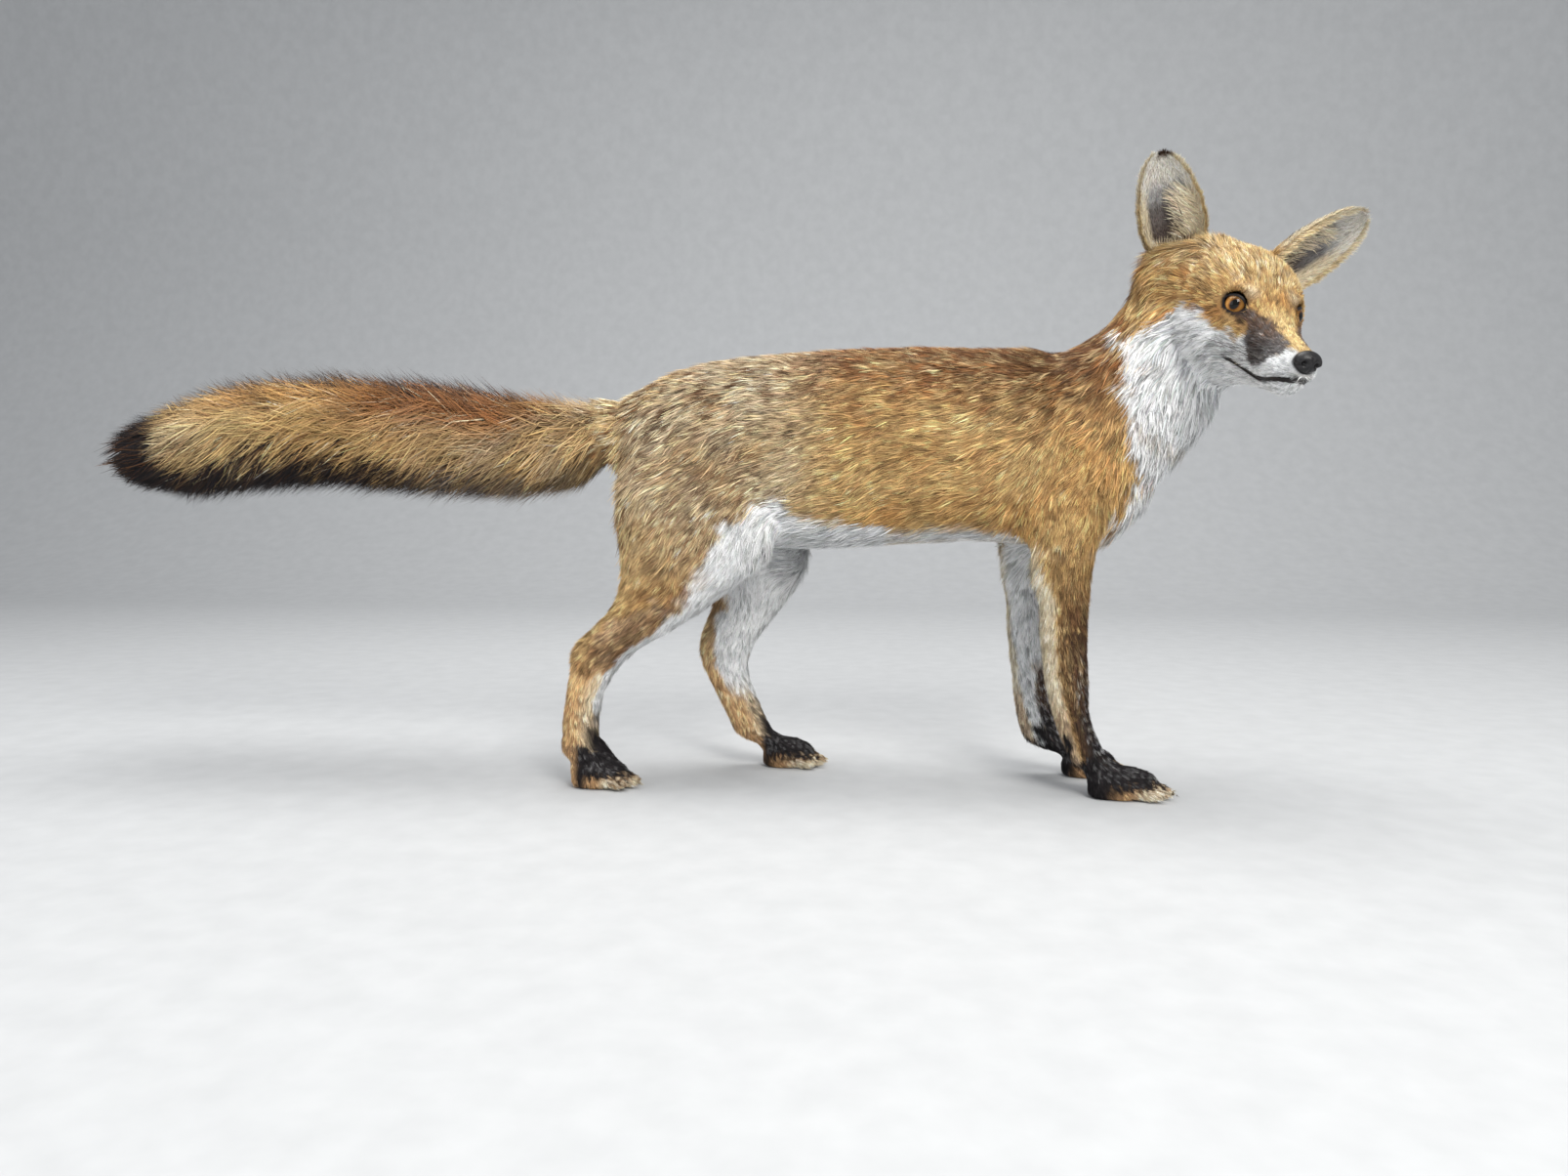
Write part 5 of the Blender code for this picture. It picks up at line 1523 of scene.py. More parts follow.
    def _rows(self, draw: np.random.Generator, count: int, rise: tuple, cross: tuple, front: bool,
              length: float, lift: float, patches: "Patches") -> Tufts:
        """Tufts over a part of one face.

        Args:
            draw: where the differences come from.
            count: how many tufts.
            rise: the heights between which they grow.
            cross: the places across between which they grow.
            front: whether on the hollow face.
            length: their length in metres.
            lift: how far they stand off, in radians.
            patches: finds their places on the hide's unwrap.
        Returns:
            The tufts in the fox's frame.
        """
        t, s = draw.uniform(*rise, count), draw.uniform(*cross, count)
        step = 1e-3
        root = self.surface(t, s, front)
        above, beyond = np.minimum(t + step, 1), np.clip(s + step, -1, 1)
        upward = self.surface(above, s, front) - self.surface(above - step, s, front)
        outward = self.surface(t, beyond, front) - self.surface(t, beyond - step, front)
        normal = unit(np.cross(unit(upward), unit(outward)))
        normal *= np.sign(normal[:, :1] + 1e-9) * (1 if front else -1)
        edge = np.sign(s) * ramp(np.abs(s), 0.55, 0.95)
        if front and length > self.combed_from:
            edge = np.full(count, 0.75)
        flow = unit(flat_on(unit(unit(upward) + unit(outward) * (edge * 1.3)[:, None]), normal))
        turn = Matrix(self.place.to_3x3().normalized()).to_4x4()
        paint = self.front_paint(t, s) if front else self.back_paint(t, s)
        if front and length > self.pale_from:
            paint.lay(CREAM, np.full(count, 0.75) * (draw.random(count) < 0.8))
        root = moved(self.place, root)
        size = length * draw.uniform(0.7, 1.2, count) * (0.55 + 0.45 * ramp(t, 1.0, 0.8))
        flow = turned(moved(turn, flow), moved(turn, normal), draw.normal(0, 0.16, count))
        return Tufts(root, moved(turn, normal), flow, size, Coat.width(size) * 0.85,
                     np.full(count, lift) * draw.uniform(0.7, 1.3, count), paint, patches.of(root))


def joined_tufts(parts: list[Tufts]) -> Tufts:
    """Several sets of tufts as one."""
    rows = {row.name: [getattr(part, row.name) for part in parts] for row in fields(Tufts)}
    paints = rows.pop("paint")
    paint = Paint(*(np.concatenate([getattr(one, key) for one in paints]) for key in ("root", "tip")))
    return Tufts(paint=paint, **{key: np.concatenate(row) for key, row in rows.items()})


class Patches:
    """Finds where a root lies on the hide's unwrap."""

    def __init__(self, hide: Object) -> None:
        """Reads the hide's faces and their places on the unwrap."""
        mesh = hide.data
        self.first = rows_of(mesh.polygons, "loop_start", 1, np.int32)[:, 0]
        self.uv = rows_of(mesh.uv_layers["OFBake"].data, "uv", 2)
        self.tree = BVHTree.FromPolygons(points_of(hide).tolist(), [tuple(p.vertices) for p in mesh.polygons])

    def of(self, roots: Array) -> Array:
        """The place on the unwrap of each root."""
        found = [self.tree.find_nearest(Vector(root))[2] for root in roots]
        return self.uv[self.first[np.array(found)]]


@dataclass
class BrushCoat:
    """The long hair of the tail, in clumps that taper to the tip.

    Args:
        clumps: how many clumps the brush has.
        hairs: how many tufts a clump has.
        length: the length of a tuft in metres.
        width: its width.
        shape: how a tuft is built.
        golden_angle: the turn from one clump to the next, in radians.
        tip: how far back the longest hairs reach.
    """

    clumps: int = 1500
    hairs: int = 32
    length: float = 0.046
    width: float = 0.0016
    shape: TuftShape = TuftShape((0.0, 0.5), (0.8, 1.0), dark=0.46)
    golden_angle: float = math.radians(137.508)
    tip: float = 0.716

    def build(self, patches: Patches) -> list[Object]:
        """Grows the brush in pieces from root to tip."""
        draw = np.random.default_rng(71)
        first, last = -0.234, TAIL.end + 0.002
        order = np.arange(self.clumps)
        x = first + (last - first) * ((order + 0.5) / self.clumps) ** 0.93
        angle = order * self.golden_angle + draw.uniform(-0.3, 0.3, self.clumps)
        length = self.length * draw.uniform(0.8, 1.15, self.clumps) * (0.62 + 0.38 * ramp(x, -0.245, -0.3))
        swing = draw.normal(0, 0.26, self.clumps)
        reach = draw.uniform(0.93, 1.02, self.clumps)
        own = np.repeat(order, self.hairs)
        count = len(own)
        apart = draw.normal(0, 1, (count, 2))
        root_x = x[own] + apart[:, 0] * 0.006
        root_angle = angle[own] + apart[:, 1] * 0.2
        guard = draw.random(count) < 0.25
        long = length[own] * draw.uniform(0.6, 1.15, count) * np.where(guard, 1.12, 1)
        long = np.minimum(long, root_x + self.tip - np.abs(draw.normal(0, 0.016, count)))
        layer = np.where(guard, draw.uniform(0.96, 1.12, count), draw.uniform(0.62, 0.97, count))
        centres, outs = [], []
        for t in self.shape.rings + (1.0,):
            meet = 0.55 * t ** 1.4
            at = root_x - long * t
            tip_angle = root_angle * (1 - meet) + angle[own] * meet + swing[own] * t * t
            tip_angle += Ripple(0.09, 72).at(np.stack((at, tip_angle * 0.02, 0 * at), axis=1)) * 0.1 * t
            tip_angle += 0.52 * np.sin(tip_angle) * t
            full = (TAIL.half(at) + 0.012 * ramp(at, -0.665, -0.7)) * reach[own] * layer
            base = TAIL.inner(root_x) - 0.0015
            rise = base + (np.maximum(full, base * 0.9) - base) * (0.65 * t + 0.35 * np.sin(t * np.pi / 2))
            rise += draw.normal(0, 0.0018, count) * t
            out = np.stack((0 * at, np.sin(tip_angle) * 0.96, np.cos(tip_angle)), axis=1)
            centre = np.stack((at, 0 * at, TAIL.middle(at)), axis=1) + out * rise[:, None]
            centres.append(centre), outs.append(out)
        shade = np.exp(draw.normal(0, 0.26, self.clumps))[own]
        return self._pieces(np.stack(centres, 1), np.stack(outs, 1), long, guard, shade, patches, draw)

    def _pieces(self, centres: Array, outs: Array, long: Array, guard: Array, shade: Array, patches: Patches,
                draw: np.random.Generator) -> list[Object]:
        """Blades along the centres, split into pieces under the limit of faces."""
        count = len(centres)
        along = unit(np.gradient(centres, axis=1))
        normal = unit(flat_on(outs, along))
        across = np.cross(normal, along)
        width = self.width * draw.uniform(0.6, 1.2, count) * np.where(guard, 0.55, 1)
        paint = MARKS.at(centres[:, 1] * 0.3 + centres[:, 2] * 0.7, outs[:, 2])
        luck = draw.random(count)
        paint.fleck(UMBER, (luck < 0.2) * 0.7)
        paint.fleck(CREAM, (luck > 0.9) * ~guard * (paint.tip.mean(axis=1) > 0.1) * 0.6)
        top = ramp(outs[:, -1, 2], 0.7, 0.95) * ramp(centres[:, -1, 0], -0.28, -0.36)
        edge = np.maximum(top, ramp(-outs[:, -1, 2], 0.5, 0.9) * 0.6)
        paint.fleck(BLACK, edge * (guard | (luck < 0.3)) * 0.95)
        paint.shaded(shade * 0.6, shade)
        points, ages, sides = self.shape.blades(centres, normal, across, width)
        roots = centres[:, 0]
        tufts = Tufts(roots, outs[:, 0], along[:, 0], long, width, width, paint, patches.of(roots))
        tone = self.shape.tones(tufts, ages, draw)
        parts = math.ceil(count * self.shape.triangles / Coat.most)
        made = []
        for k in range(parts):
            own = np.arange(count) * parts // count == k
            obj = self.shape.mesh(f"brush_{k + 1}", points[own], tone[own], ages, sides, tufts.patch[own])
            made.append(dressed(obj, HairFinish(), Slot.COAT))
        return made


@dataclass
class Eye:
    """One glass eye with its lids.

    Args:
        side: which eye.
        bulge: how far the clear front stands out, in millimetres.
        lid_half: half the width and half the height of the lids' opening.
        lid_thick: the thickness of the lids' rim.
    """

    side: Side
    bulge: float = 0.4
    lid_half: tuple[float, float] = (9.2, 6.8)
    lid_thick: float = 1.15

    def ball(self) -> Object:
        """The glass ball, its front pole looking out of the lids."""
        radius, side = HEAD.eye_radius - 0.15, self.side.name.lower()
        obj = primitive(bpy.ops.mesh.primitive_uv_sphere_add, "glass_eye_" + side, segments=64, ring_count=48,
                        radius=radius)
        places = np.array([v.co for v in obj.data.vertices])
        front = ramp(places[:, 2] / radius, 0.55, 1.0)
        places *= (1 + front * self.bulge / radius)[:, None]
        layer = obj.data.uv_layers.active
        layer.name = "Iris"
        for loop, uv in zip(obj.data.loops, layer.data):
            x, y, z = places[loop.vertex_index] / radius
            uv.uv = (0.5 + x * 0.45, 0.5 + y * 0.45) if z > 0 else (0.98, 0.98)
        for vert, place in zip(obj.data.vertices, places):
            vert.co = place
        return self._placed(obj, EyeFinish(), Slot.EYE, "eye_" + side)

    def lids(self) -> Object:
        """The black rim of the lids, drawn out and down at the inner corner."""
        obj = primitive(bpy.ops.mesh.primitive_torus_add, "lid_rim_" + self.side.name.lower(),
                        major_segments=72, minor_segments=14, major_radius=10, minor_radius=1)
        width, height = self.lid_half
        for vert in obj.data.vertices:
            c, s = unit(np.array(vert.co)[:2])
            radial, up = math.hypot(vert.co.x, vert.co.y) - 10, vert.co.z
            inner = max(0.0, -self.side.value * s) ** 10
            below = HEAD.eye_radius ** 2 - (width * s) ** 2 - (height * c) ** 2
            lift = math.sqrt(max(below, 9.0)) + 0.35
            thick = self.lid_thick * (1.0 - 0.22 * c) * (1 - 0.35 * inner)
            middle = Vector((height * c * (1 + 0.05 * c) * (1 - 0.34 * s * s) + 2.6 * inner,
                             width * s * (1.03 + 0.34 * inner), lift + 0.5 * inner))
            out = Vector((c / height, s / width, 0)).normalized()
            vert.co = middle + out * (radial * thick) + Vector((0, 0, up * thick * 0.7))
        return self._placed(obj, DARK_SKIN, Slot.NOSE)

    def _placed(self, obj: Object, finish: "Finish", slot: Slot, *nodes: str) -> Object:
        """The piece in its place, dressed and tied to the frame."""
        obj.data.transform(Matrix.Translation(SHIFT) @ HEAD.eye(self.side))
        smoothed(obj.data)
        return dressed(obj, finish, slot, *nodes)


@dataclass
class Nose:
    """The bare leather of the nose, with its nostrils, groove and pebbled skin."""

    at: tuple[float, float, float] = (131.5, 0.0, -15.0)
    radii: tuple[float, float, float] = (7.5, 10.6, 8.2)

    def build(self) -> Object:
        """Shapes the pad, cuts the nostrils and dresses it."""
        obj = primitive(bpy.ops.mesh.primitive_uv_sphere_add, "nose_leather", segments=96, ring_count=64,
                        radius=1)
        for vert in obj.data.vertices:
            vert.co = self._shaped(*vert.co)
        obj.data.transform(Matrix.Translation(SHIFT) @ HEAD.matrix())
        smoothed(obj.data)
        return dressed(obj, LEATHER, Slot.NOSE, "nose")

    def _shaped(self, x: float, y: float, z: float) -> Vector:
        """A point of the unit ball as a point of the nose, in the head's frame."""
        pinch = 1 - 0.34 * max(-z, 0) ** 1.2
        place = Vector((self.at[0] + self.radii[0] * x * (1 - 0.1 * abs(z)), self.radii[1] * y * pinch,
                        self.at[2] + self.radii[2] * z))
        for side in Side:
            hole = Vector((self.at[0] + 6.2, side.value * 4.5, self.at[2] - 0.6))
            gap = place - hole
            deep = math.exp(-(gap.y / 2.2) ** 2 - (gap.z / 2.0) ** 2 - (gap.x / 6) ** 2)
            wing = Vector((self.at[0] + 3.4, side.value * 8.6, self.at[2] - 2.4))
            off = place - wing
            slit = math.exp(-(off.z / 1.1) ** 2 - (off.x / 5) ** 2 - (off.y / 3) ** 2)
            place.x -= 4.2 * deep
            place.y -= side.value * 1.6 * slit
        cleft = math.exp(-(place.y / 0.7) ** 2) * max(0.0, x) * min(1.0, max(0.0, 1 - (z - 0.35) * 3))
        place.x -= 0.9 * cleft
        return place


class Lips:
    """The dark lips along the mouth."""

    line: tuple = ((48, -31.5), (70, -33), (85, -36), (98, -37.5), (110, -35), (122, -31), (131, -28.5),
                   (142, -26))

    @classmethod
    def height_over(cls, local: Array) -> Array:
        """How far points of the head's frame lie above the mouth, in millimetres."""
        return local[:, 2] - read(cls.line, local[:, 0])

    @classmethod
    def along(cls, local: Array) -> Array:
        """1 along the mouth, fading to 0 at its corners and off the muzzle."""
        level = ramp(local[:, 0], 44, 52) * ramp(np.abs(local[:, 1]), 42, 34)
        return level * ramp(np.linalg.norm(local, axis=1), 160, 150)

    def build(self, tree: BVHTree) -> Object:
        """Both lips, swept along the mouth from corner to corner."""
        path = self._path(tree)
        thick = 1.15 * ramp(np.minimum(np.arange(len(path)), np.arange(len(path))[::-1]), -2, 7) + 0.1
        paths = np.stack((path + np.array((0, 0, 1.0)), path - np.array((0, 0, 0.9))))
        paths[1, :, :2] *= np.array((0.995, 0.95))
        points, faces = swept(paths, np.stack((thick, thick * 0.9)), 10)
        return dressed(put("lips", moved(HEAD.matrix(), points), faces), DARK_SKIN, Slot.NOSE)

    def _path(self, tree: BVHTree) -> Array:
        """The mouth on the hide's surface, from the right corner round the front to the left."""
        place, back = HEAD.matrix(), HEAD.matrix().inverted()
        starts = [(x, -90) for x in np.linspace(50, 122, 38)]
        starts += [(122.0, angle) for angle in np.linspace(-86, 86, 23)]
        starts += [(x, 90) for x in np.linspace(122, 50, 38)]
        found = []
        for x, angle in starts:
            way = Vector((math.cos(math.radians(angle)), math.sin(math.radians(angle)), 0))
            z = float(read(self.line, x)) + 2.2 * max(0.0, way.x) ** 2
            origin = place @ Vector((x, 0, z))
            hit = tree.ray_cast(origin, (place.to_3x3() @ way).normalized(), 0.06)[0]
            if hit is not None:
                found.append(np.array(back @ hit) - np.array(way) * 0.2)
        path = np.array(found)
        for _ in range(4):
            path[1:-1] = path[1:-1] * 0.5 + (path[:-2] + path[2:]) * 0.25
        return path


@dataclass
class Whiskers:
    """Long tapered whiskers in rows on each side of the muzzle, with a few over the eyes and on the cheeks."""

    rows: int = 3
    thick: float = 0.00022

    def build(self, tree: BVHTree) -> Object:
        """All the whiskers as one piece."""
        draw = np.random.default_rng(81)
        roots = []
        for side in Side:
            for row in range(self.rows):
                for k in range(4):
                    x = 116 - k * 5.5 - row * 1.5
                    roots.append((side.value, x, -14 - row * 4.2 - k * 0.8, 50 + 12 * k - 3 * row, False))
            for x, z, length, brow in ((58, 24, 26, True), (55, 25, 22, True), (34, -22, 24, False),
                                       (31, -24, 20, False)):
                roots.append((side.value, x, z, length, brow))
        paths = [path for root in roots if (path := self._path(tree, root, draw)) is not None]
        taper = np.linspace(1, 0.12, 12)[None] * self.thick * draw.uniform(0.8, 1.2, (len(paths), 1))
        points, faces = swept(np.array(paths), taper, 5)
        return dressed(put("whiskers", points, faces), WHISKER, Slot.DARK)

    @staticmethod
    def _path(tree: BVHTree, root: tuple, draw: np.random.Generator) -> Array | None:
        """One whisker, rooted in the hide and sweeping back.

        Args:
            tree: the hide's surface.
            root: its side, place along and height on the head, its length, and whether it grows on the brow.
            draw: where the differences come from.
        Returns:
            The points along it, or None where the hide isn't met.
        """
        sign, x, z, length, brow = root
        place = HEAD.matrix()
        start = place @ Vector((x + draw.uniform(-1, 1), sign * 60, z + draw.uniform(-0.8, 0.8)))
        hit = tree.ray_cast(start, (place.to_3x3() @ Vector((0, -sign, 0))).normalized(), 0.06)[0]
        if hit is None:
            return None
        origin = np.array(place.inverted() @ hit)
        upward = 0.75 if brow else draw.uniform(-0.3, 0.16)
        way = unit(np.array((-0.85, sign * draw.uniform(0.38, 0.62), upward)))
        bend = np.array((-0.45, sign * -0.22, 0.05 if brow else -0.1))
        t = np.linspace(0, 1, 12)[:, None]
        path = origin + (way * t + bend * t * t) * length * draw.uniform(0.85, 1.1) - way * 1.0
        return moved(place, path)


@dataclass
class Claws:
    """Pale curved claws, one on each toe.

    Args:
        length: their length in metres.
        thick: the radius at their root.
        spread: where they sit across the paw, in shares of its width.
        reach: how far forward they sit, in shares of its length.
    """

    length: float = 0.01
    thick: float = 0.0019
    spread: tuple = (-0.4, -0.14, 0.14, 0.4)
    reach: tuple = (0.84, 1.0, 1.0, 0.84)

    def build(self) -> list[Object]:
        """The claws of each paw as one piece."""
        made = []
        for name, (heel, y, toe, width, height) in PAWS.items():
            paths, length = [], toe - heel
            for spread, reach in zip(self.spread, self.reach):
                tip = np.array((heel + 0.86 * reach * length, y + spread * width * 1.08, 0.3 * height))
                way = unit(np.array((1, spread * 0.5, 0)))
                t = np.linspace(0, 1, 12)[:, None]
                along = 0.0005 + (self.length + 0.002) * t + 0.11 * length
                paths.append(tip + way * along + np.array((0, 0, -0.0046)) * t ** 2 + np.array((0, 0, 0.0006)))
            t = np.linspace(0, 1, 12)
            radii = np.tile(self.thick * np.clip(1 - t, 0, 1) ** 0.62 + 0.00008, (4, 1))
            points, faces = swept(np.array(paths), radii, 12, 0.72)
            points[:, 2] = np.maximum(points[:, 2], 0.0002)
            made.append(dressed(put("claws_" + name, points, faces), HORN, Slot.DARK))
        return made


class Nodes:
    """A small builder of one material's nodes."""

    def __init__(self, name: str) -> None:
        """Starts a material with a Principled shader."""
        self.material = bpy.data.materials.new(name)
        self.material.use_nodes = True
        self.tree = self.material.node_tree
        self.shader = self.tree.nodes["Principled BSDF"]

    def fill(self, node: bpy.types.Node, inputs: dict) -> None:
        """Gives a node's inputs their values, which are numbers, vectors or the sockets of other nodes."""
        for key, value in inputs.items():
            if isinstance(value, Socket):
                self.tree.links.new(value, node.inputs[key])
            else:
                node.inputs[key].default_value = value

    def add(self, kind: str, inputs: dict, output: str, **settings: object) -> Socket:
        """An output of a new node.

        Args:
            kind: the node's kind.
            inputs: the values of its inputs.
            output: the output asked for.
            settings: its other settings.
        Returns:
            The output's socket.
        """
        node = self.tree.nodes.new("ShaderNode" + kind)
        for key, value in settings.items():
            setattr(node, key, value)
        self.fill(node, inputs)
        return node.outputs[output]

    def noise(self, vector: Socket, scale: float, detail: float = 3.0) -> Socket:
        """The value of a noise over a vector."""
        return self.add("TexNoise", {"Vector": vector, "Scale": scale, "Detail": detail}, "Fac")

    def graded(self, value: Socket, stops: tuple) -> Socket:
        """The colour of a ramp with these stops."""
        colour = self.add("ValToRGB", {"Fac": value}, "Color")
        band = colour.node.color_ramp.elements
        while len(band) < len(stops):
            band.new(0.5)
        for element, (at, tone) in zip(band, stops):
            element.position = at
            element.color = (*tone, 1)
        return colour

    def spread(self, value: Socket, low: float, high: float) -> Socket:
        """The value from 0 to 1 carried to low to high."""
        return self.add("MapRange", {"Value": value, "To Min": low, "To Max": high}, "Result")

    def scaled(self, colour: Socket, value: Socket) -> Socket:
        """The colour times a value."""
        return self.add("VectorMath", {0: colour, "Scale": value}, "Vector", operation="SCALE")

    def bump(self, height: Socket, strength: float, distance: float) -> None:
        """Raises the shader's surface by a height."""
        inputs = {"Strength": strength, "Distance": distance, "Height": height}
        self.fill(self.shader, {"Normal": self.add("Bump", inputs, "Normal")})

    def place(self) -> Socket:
        """Object coordinates."""
        return self.add("TexCoord", {}, "Object")

    def map(self, name: str) -> Socket:
        """The places on one of the piece's own maps."""
        return self.add("UVMap", {}, "UV", uv_map=name)

    def coat(self) -> Socket:
        """The coat's own colours."""
        return self.add("Attribute", {}, "Color", attribute_name="Coat")

    def surface(self, colour: Socket, rough: Socket | float, gloss: float = 0.5) -> None:
        """Sets the shader's colour, roughness and level of reflection."""
        self.fill(self.shader, {"Base Color": colour, "Roughness": rough, "Specular IOR Level": gloss})


@dataclass(frozen=True)
class Finish:
    """What a piece is made of: a material that is made once and shared."""

    name: str

    def material(self) -> bpy.types.Material:
        """The material, made at its first use."""
        if self.name not in bpy.data.materials:
            self.lay(Nodes(self.name))
        return bpy.data.materials[self.name]

    def lay(self, nodes: Nodes) -> None:
        """Lays the nodes; each finish has its own."""
        raise NotImplementedError


@dataclass(frozen=True)
class HairFinish(Finish):
    """Fur: the tuft's own colours, split into fine strands across it."""

    name: str = "fur"
    roughness: float = 0.55
    strands: float = 5.0

    def lay(self, nodes: Nodes) -> None:
        """Colour, roughness and relief follow the strands."""
        scale = (self.strands, 0.8, 1)
        across = nodes.add("Mapping", {"Vector": nodes.map("Strand"), "Scale": scale}, "Vector")
        strand = nodes.noise(across, 1.0, 1.0)
        rough = nodes.spread(strand, self.roughness - 0.1, self.roughness + 0.15)
        nodes.surface(nodes.scaled(nodes.coat(), nodes.spread(strand, 0.5, 1.5)), rough, 0.16)
        nodes.bump(strand, 0.5, 0.0002)


@dataclass(frozen=True)
class HideFinish(Finish):
    """The hide with its nap, in the colours of the coat over it."""

    name: str = "hide"

    def lay(self, nodes: Nodes) -> None:
        """Colour, roughness and relief follow the nap."""
        nap = nodes.noise(nodes.place(), 900, 4)
        colour = nodes.scaled(nodes.coat(), nodes.spread(nap, 0.6, 1.25))
        nodes.surface(colour, nodes.spread(nap, 0.7, 0.95), 0.2)
        nodes.bump(nap, 0.8, 0.0006)


@dataclass(frozen=True)
class EyeFinish(Finish):
    """Polished glass over an amber iris with a round dark pupil."""

    name: str = "amber_glass"
    pupil: float = 0.168

    def lay(self, nodes: Nodes) -> None:
        """Rings of colour with fine fibres, darkened towards the top by a painted shadow of the upper lid and
        brightened towards the bottom, under a clear coat.
        """
        uv = nodes.map("Iris")
        centred = nodes.add("VectorMath", {0: uv, 1: (0.5, 0.5, 0)}, "Vector", operation="SUBTRACT")
        oval = nodes.add("VectorMath", {0: centred, 1: (0.88, 1.1, 1)}, "Vector", operation="MULTIPLY")
        far = nodes.add("VectorMath", {0: oval}, "Value", operation="LENGTH")
        # painted shadow of the upper lid: the iris darker towards its top and brighter towards its bottom
        shade = nodes.spread(nodes.add("SeparateXYZ", {"Vector": uv}, "X"), -0.2, 1.9)
        ray = nodes.add("VectorMath", {0: centred}, "Vector", operation="NORMALIZE")
        fibre = nodes.noise(ray, 9, 4)
        rings = nodes.graded(far, (
            (0.0, (0.002, 0.002, 0.002)), (self.pupil - 0.01, (0.002, 0.002, 0.002)),
            (self.pupil + 0.014, (0.16, 0.055, 0.01)), (0.26, (0.5, 0.245, 0.065)),
            (0.34, (0.4, 0.18, 0.042)), (0.385, (0.1, 0.038, 0.01)), (0.41, (0.006, 0.004, 0.003))))
        iris = nodes.scaled(nodes.scaled(rings, nodes.spread(fibre, 0.55, 1.5)), shade)
        nodes.surface(iris, nodes.spread(fibre, 0.04, 0.08), 0.0)
        nodes.fill(nodes.shader, {"Coat Weight": 1.0, "Coat Roughness": 0.02, "Coat IOR": 1.36})


@dataclass(frozen=True)
class Grained(Finish):
    """Bare skin or horn, with one grain in its colour, roughness and relief.

    Args:
        scale: how fine the grain is.
        detail: how many layers it has.
        stops: its colours, each after its place on the grain.
        rough: the roughness at both ends of the grain.
        gloss: the level of reflection.
        relief: the strength and the height of the bump.
        pebbled: the fineness of pebbles that make the relief in place of the grain.
    """

    scale: float
    detail: float
    stops: tuple
    rough: tuple[float, float]
    gloss: float
    relief: tuple[float, float]
    pebbled: float | None = None

    def lay(self, nodes: Nodes) -> None:
        """Colour and roughness follow the grain, and relief the grain or the pebbles."""
        place = nodes.place()
        height = grain = nodes.noise(place, self.scale, self.detail)
        nodes.surface(nodes.graded(grain, self.stops), nodes.spread(grain, *self.rough), self.gloss)
        if self.pebbled:
            height = nodes.add("TexVoronoi", {"Vector": place, "Scale": self.pebbled}, "Distance")
        nodes.bump(height, *self.relief)


LEATHER = Grained("nose_leather", 260, 3, ((0.3, (0.006, 0.006, 0.007)), (0.7, (0.018, 0.016, 0.017))),
                  (0.26, 0.42), 0.36, (0.4, 0.0003), pebbled=1300)
DARK_SKIN = Grained("dark_skin", 700, 4, ((0.3, (0.006, 0.005, 0.005)), (0.75, (0.028, 0.022, 0.021))),
                    (0.28, 0.55), 0.25, (0.35, 0.0004))
HORN = Grained("claw_horn", 420, 4, ((0.25, (0.16, 0.11, 0.07)), (0.75, (0.62, 0.52, 0.38))),
               (0.28, 0.5), 0.5, (0.25, 0.0003))
WHISKER = Grained("whisker", 120, 2, ((0.3, (0.012, 0.01, 0.009)), (0.7, (0.06, 0.045, 0.035))),
                  (0.3, 0.45), 0.5, (0.1, 0.0001))


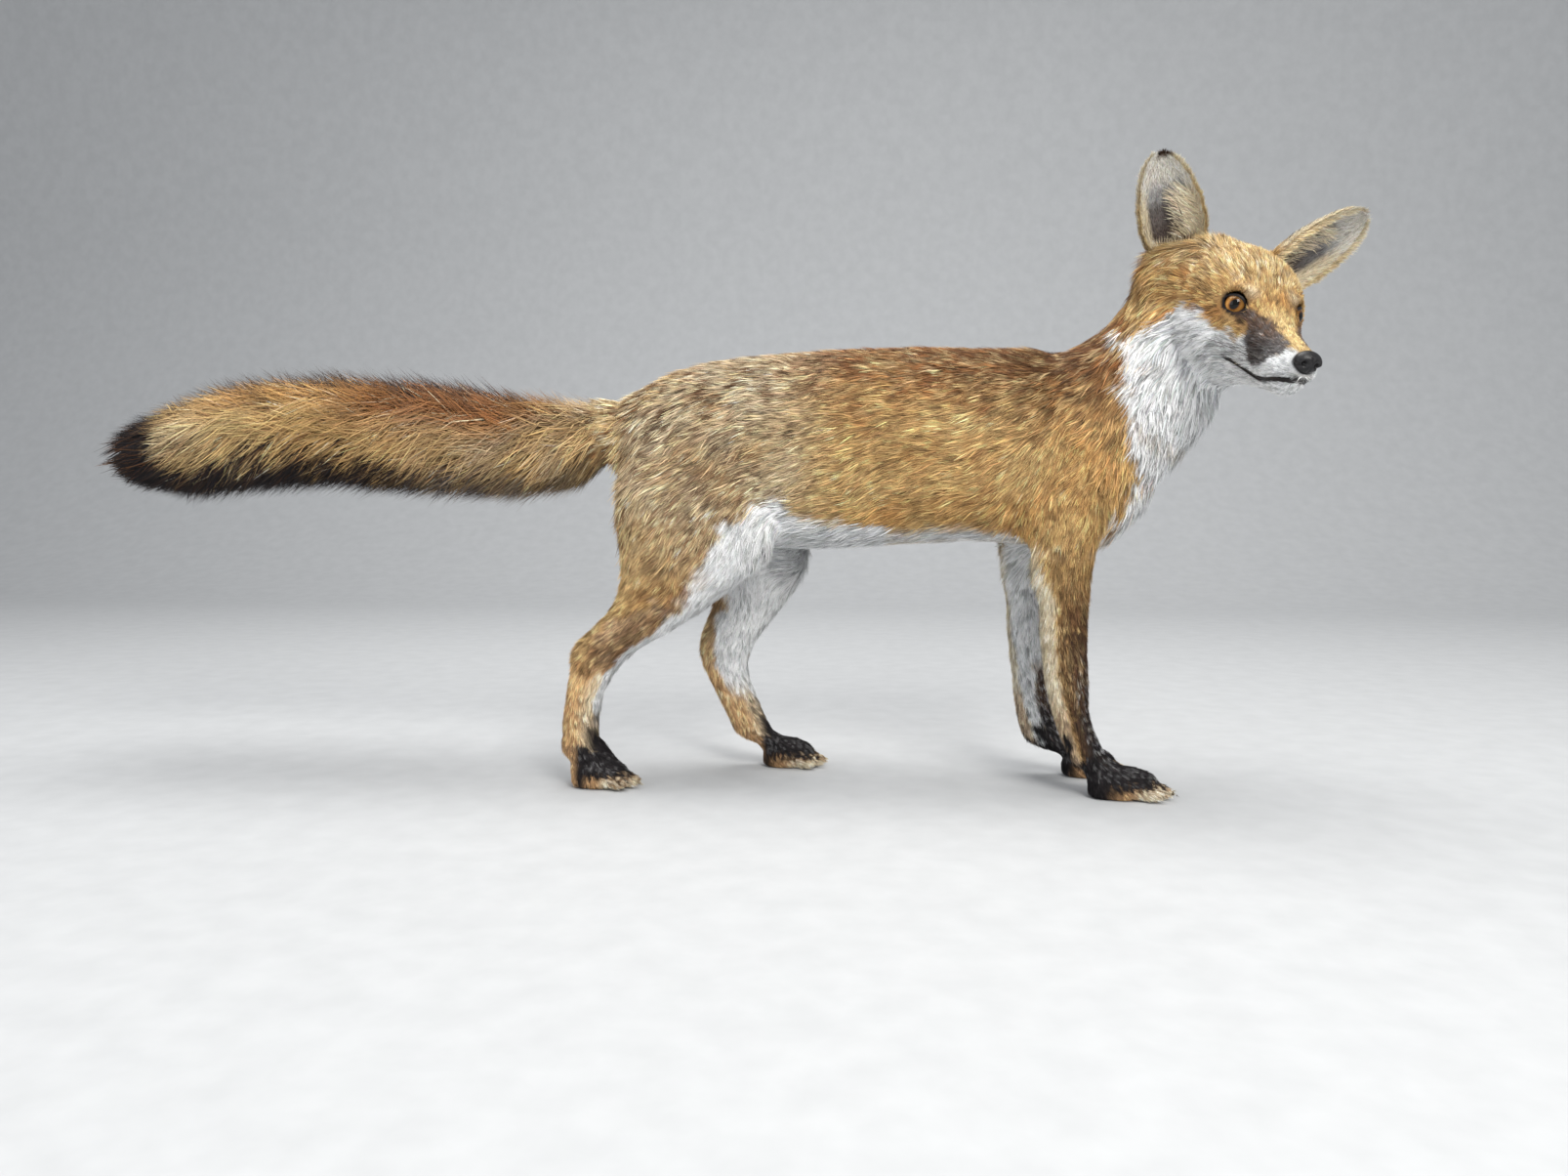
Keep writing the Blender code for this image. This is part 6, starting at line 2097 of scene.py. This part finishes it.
@dataclass
class Studio:
    """A pale floor that curves up behind, soft lights and the camera at the photo's place.

    Args:
        camera_at: the camera's place in the fox's frame.
        tilt: how far it looks up, in degrees.
        turn: how far it is turned to the left, in degrees.
        focal: the focal length in millimetres, on a film 36 mm wide.
    """

    camera_at: tuple[float, float, float] = (0.0157, -1.011, 0.246)
    tilt: float = -4.38
    turn: float = 6.0
    focal: float = 26.9

    def build(self) -> None:
        """Sets the studio up."""
        self._sweep()
        self._lights()
        self._camera()

    @staticmethod
    def _sweep() -> None:
        """The floor and the wall behind in one bent sheet."""
        angle = np.linspace(0, np.pi / 2, 16)
        rows = [(-6.0, 0.0), (-2.0, 0.0), (0.5, 0.0), (1.6, 0.0)]
        rows += [(1.6 + math.sin(a) * 1.2, 1.2 - math.cos(a) * 1.2) for a in angle[1:]] + [(2.8, 6.0)]
        points = [(x, y, z) for y, z in rows for x in (-7.0, 7.0)]
        floor = put("studio_floor", np.array(points), grid(len(rows), 2, False))
        nodes = Nodes("studio_paper")
        grain = nodes.noise(nodes.place(), 35, 3)
        nodes.surface(nodes.graded(grain, ((0.3, (0.5, 0.51, 0.52)), (0.7, (0.54, 0.55, 0.56)))), 0.8)
        floor.data.materials.append(nodes.material)

    @staticmethod
    def _lights() -> None:
        """A broad key from the front right, a fill from the left and a wide light above."""
        for name, at, size, power, tint in (
            ("key", (0.9, -1.9, 1.7), 1.0, 44, (1.0, 0.98, 0.94)),
            ("fill", (-1.7, -1.5, 0.9), 1.6, 12, (0.95, 0.97, 1.0)),
            ("above", (-0.1, 0.1, 2.3), 1.6, 46, (1.0, 0.99, 0.97)),
            ("catch", (0.42, -1.15, 0.8), 0.1, 0.9, (1.0, 1.0, 1.0)),
        ):
            lamp = bpy.data.lights.new(name, "AREA")
            lamp.size, lamp.energy, lamp.color = size, power, tint
            obj = linked(name, lamp)
            obj.location = Vector(at) + SHIFT
            obj.rotation_euler = (Vector((0, 0, 0.25)) - Vector(at)).to_track_quat("-Z", "Y").to_euler()
        world = bpy.data.worlds.new("studio_air")
        world.use_nodes = True
        air = world.node_tree.nodes["Background"].inputs
        air["Color"].default_value, air["Strength"].default_value = (0.95, 0.97, 1.0, 1), 0.5
        bpy.context.scene.world = world
        bpy.context.scene.view_settings.view_transform = "Standard"

    def _camera(self) -> None:
        """The camera where the photo was taken from."""
        lens = bpy.data.cameras.new("camera")
        lens.sensor_width, lens.lens = 36, self.focal
        lens.clip_start, lens.clip_end = 0.05, 30
        obj = linked("camera", lens)
        obj.location = Vector(self.camera_at) + SHIFT
        obj.rotation_euler = (math.radians(90 + self.tilt), 0, math.radians(self.turn))
        bpy.context.scene.camera = obj


def main() -> None:
    """Builds the fox piece by piece, then the studio."""
    logging.basicConfig(level=logging.INFO, format="%(message)s")
    skin = Skin()
    hide = skin.build()
    patches = Patches(hide)
    Coat().build(HideSampler(hide, skin.lie, skin.ears))
    for side in Side:
        for name, tufts in Ear(side).tufts(patches):
            dressed(TuftShape(dark=0.35).build(name, tufts, 300 + side.value), HairFinish(), Slot.COAT)
        Eye(side).ball()
        Eye(side).lids()
    BrushCoat().build(patches)
    Nose().build()
    Lips().build(patches.tree)
    Whiskers().build(patches.tree)
    Claws().build()
    Studio().build()


if __name__ == "__main__":
    main()
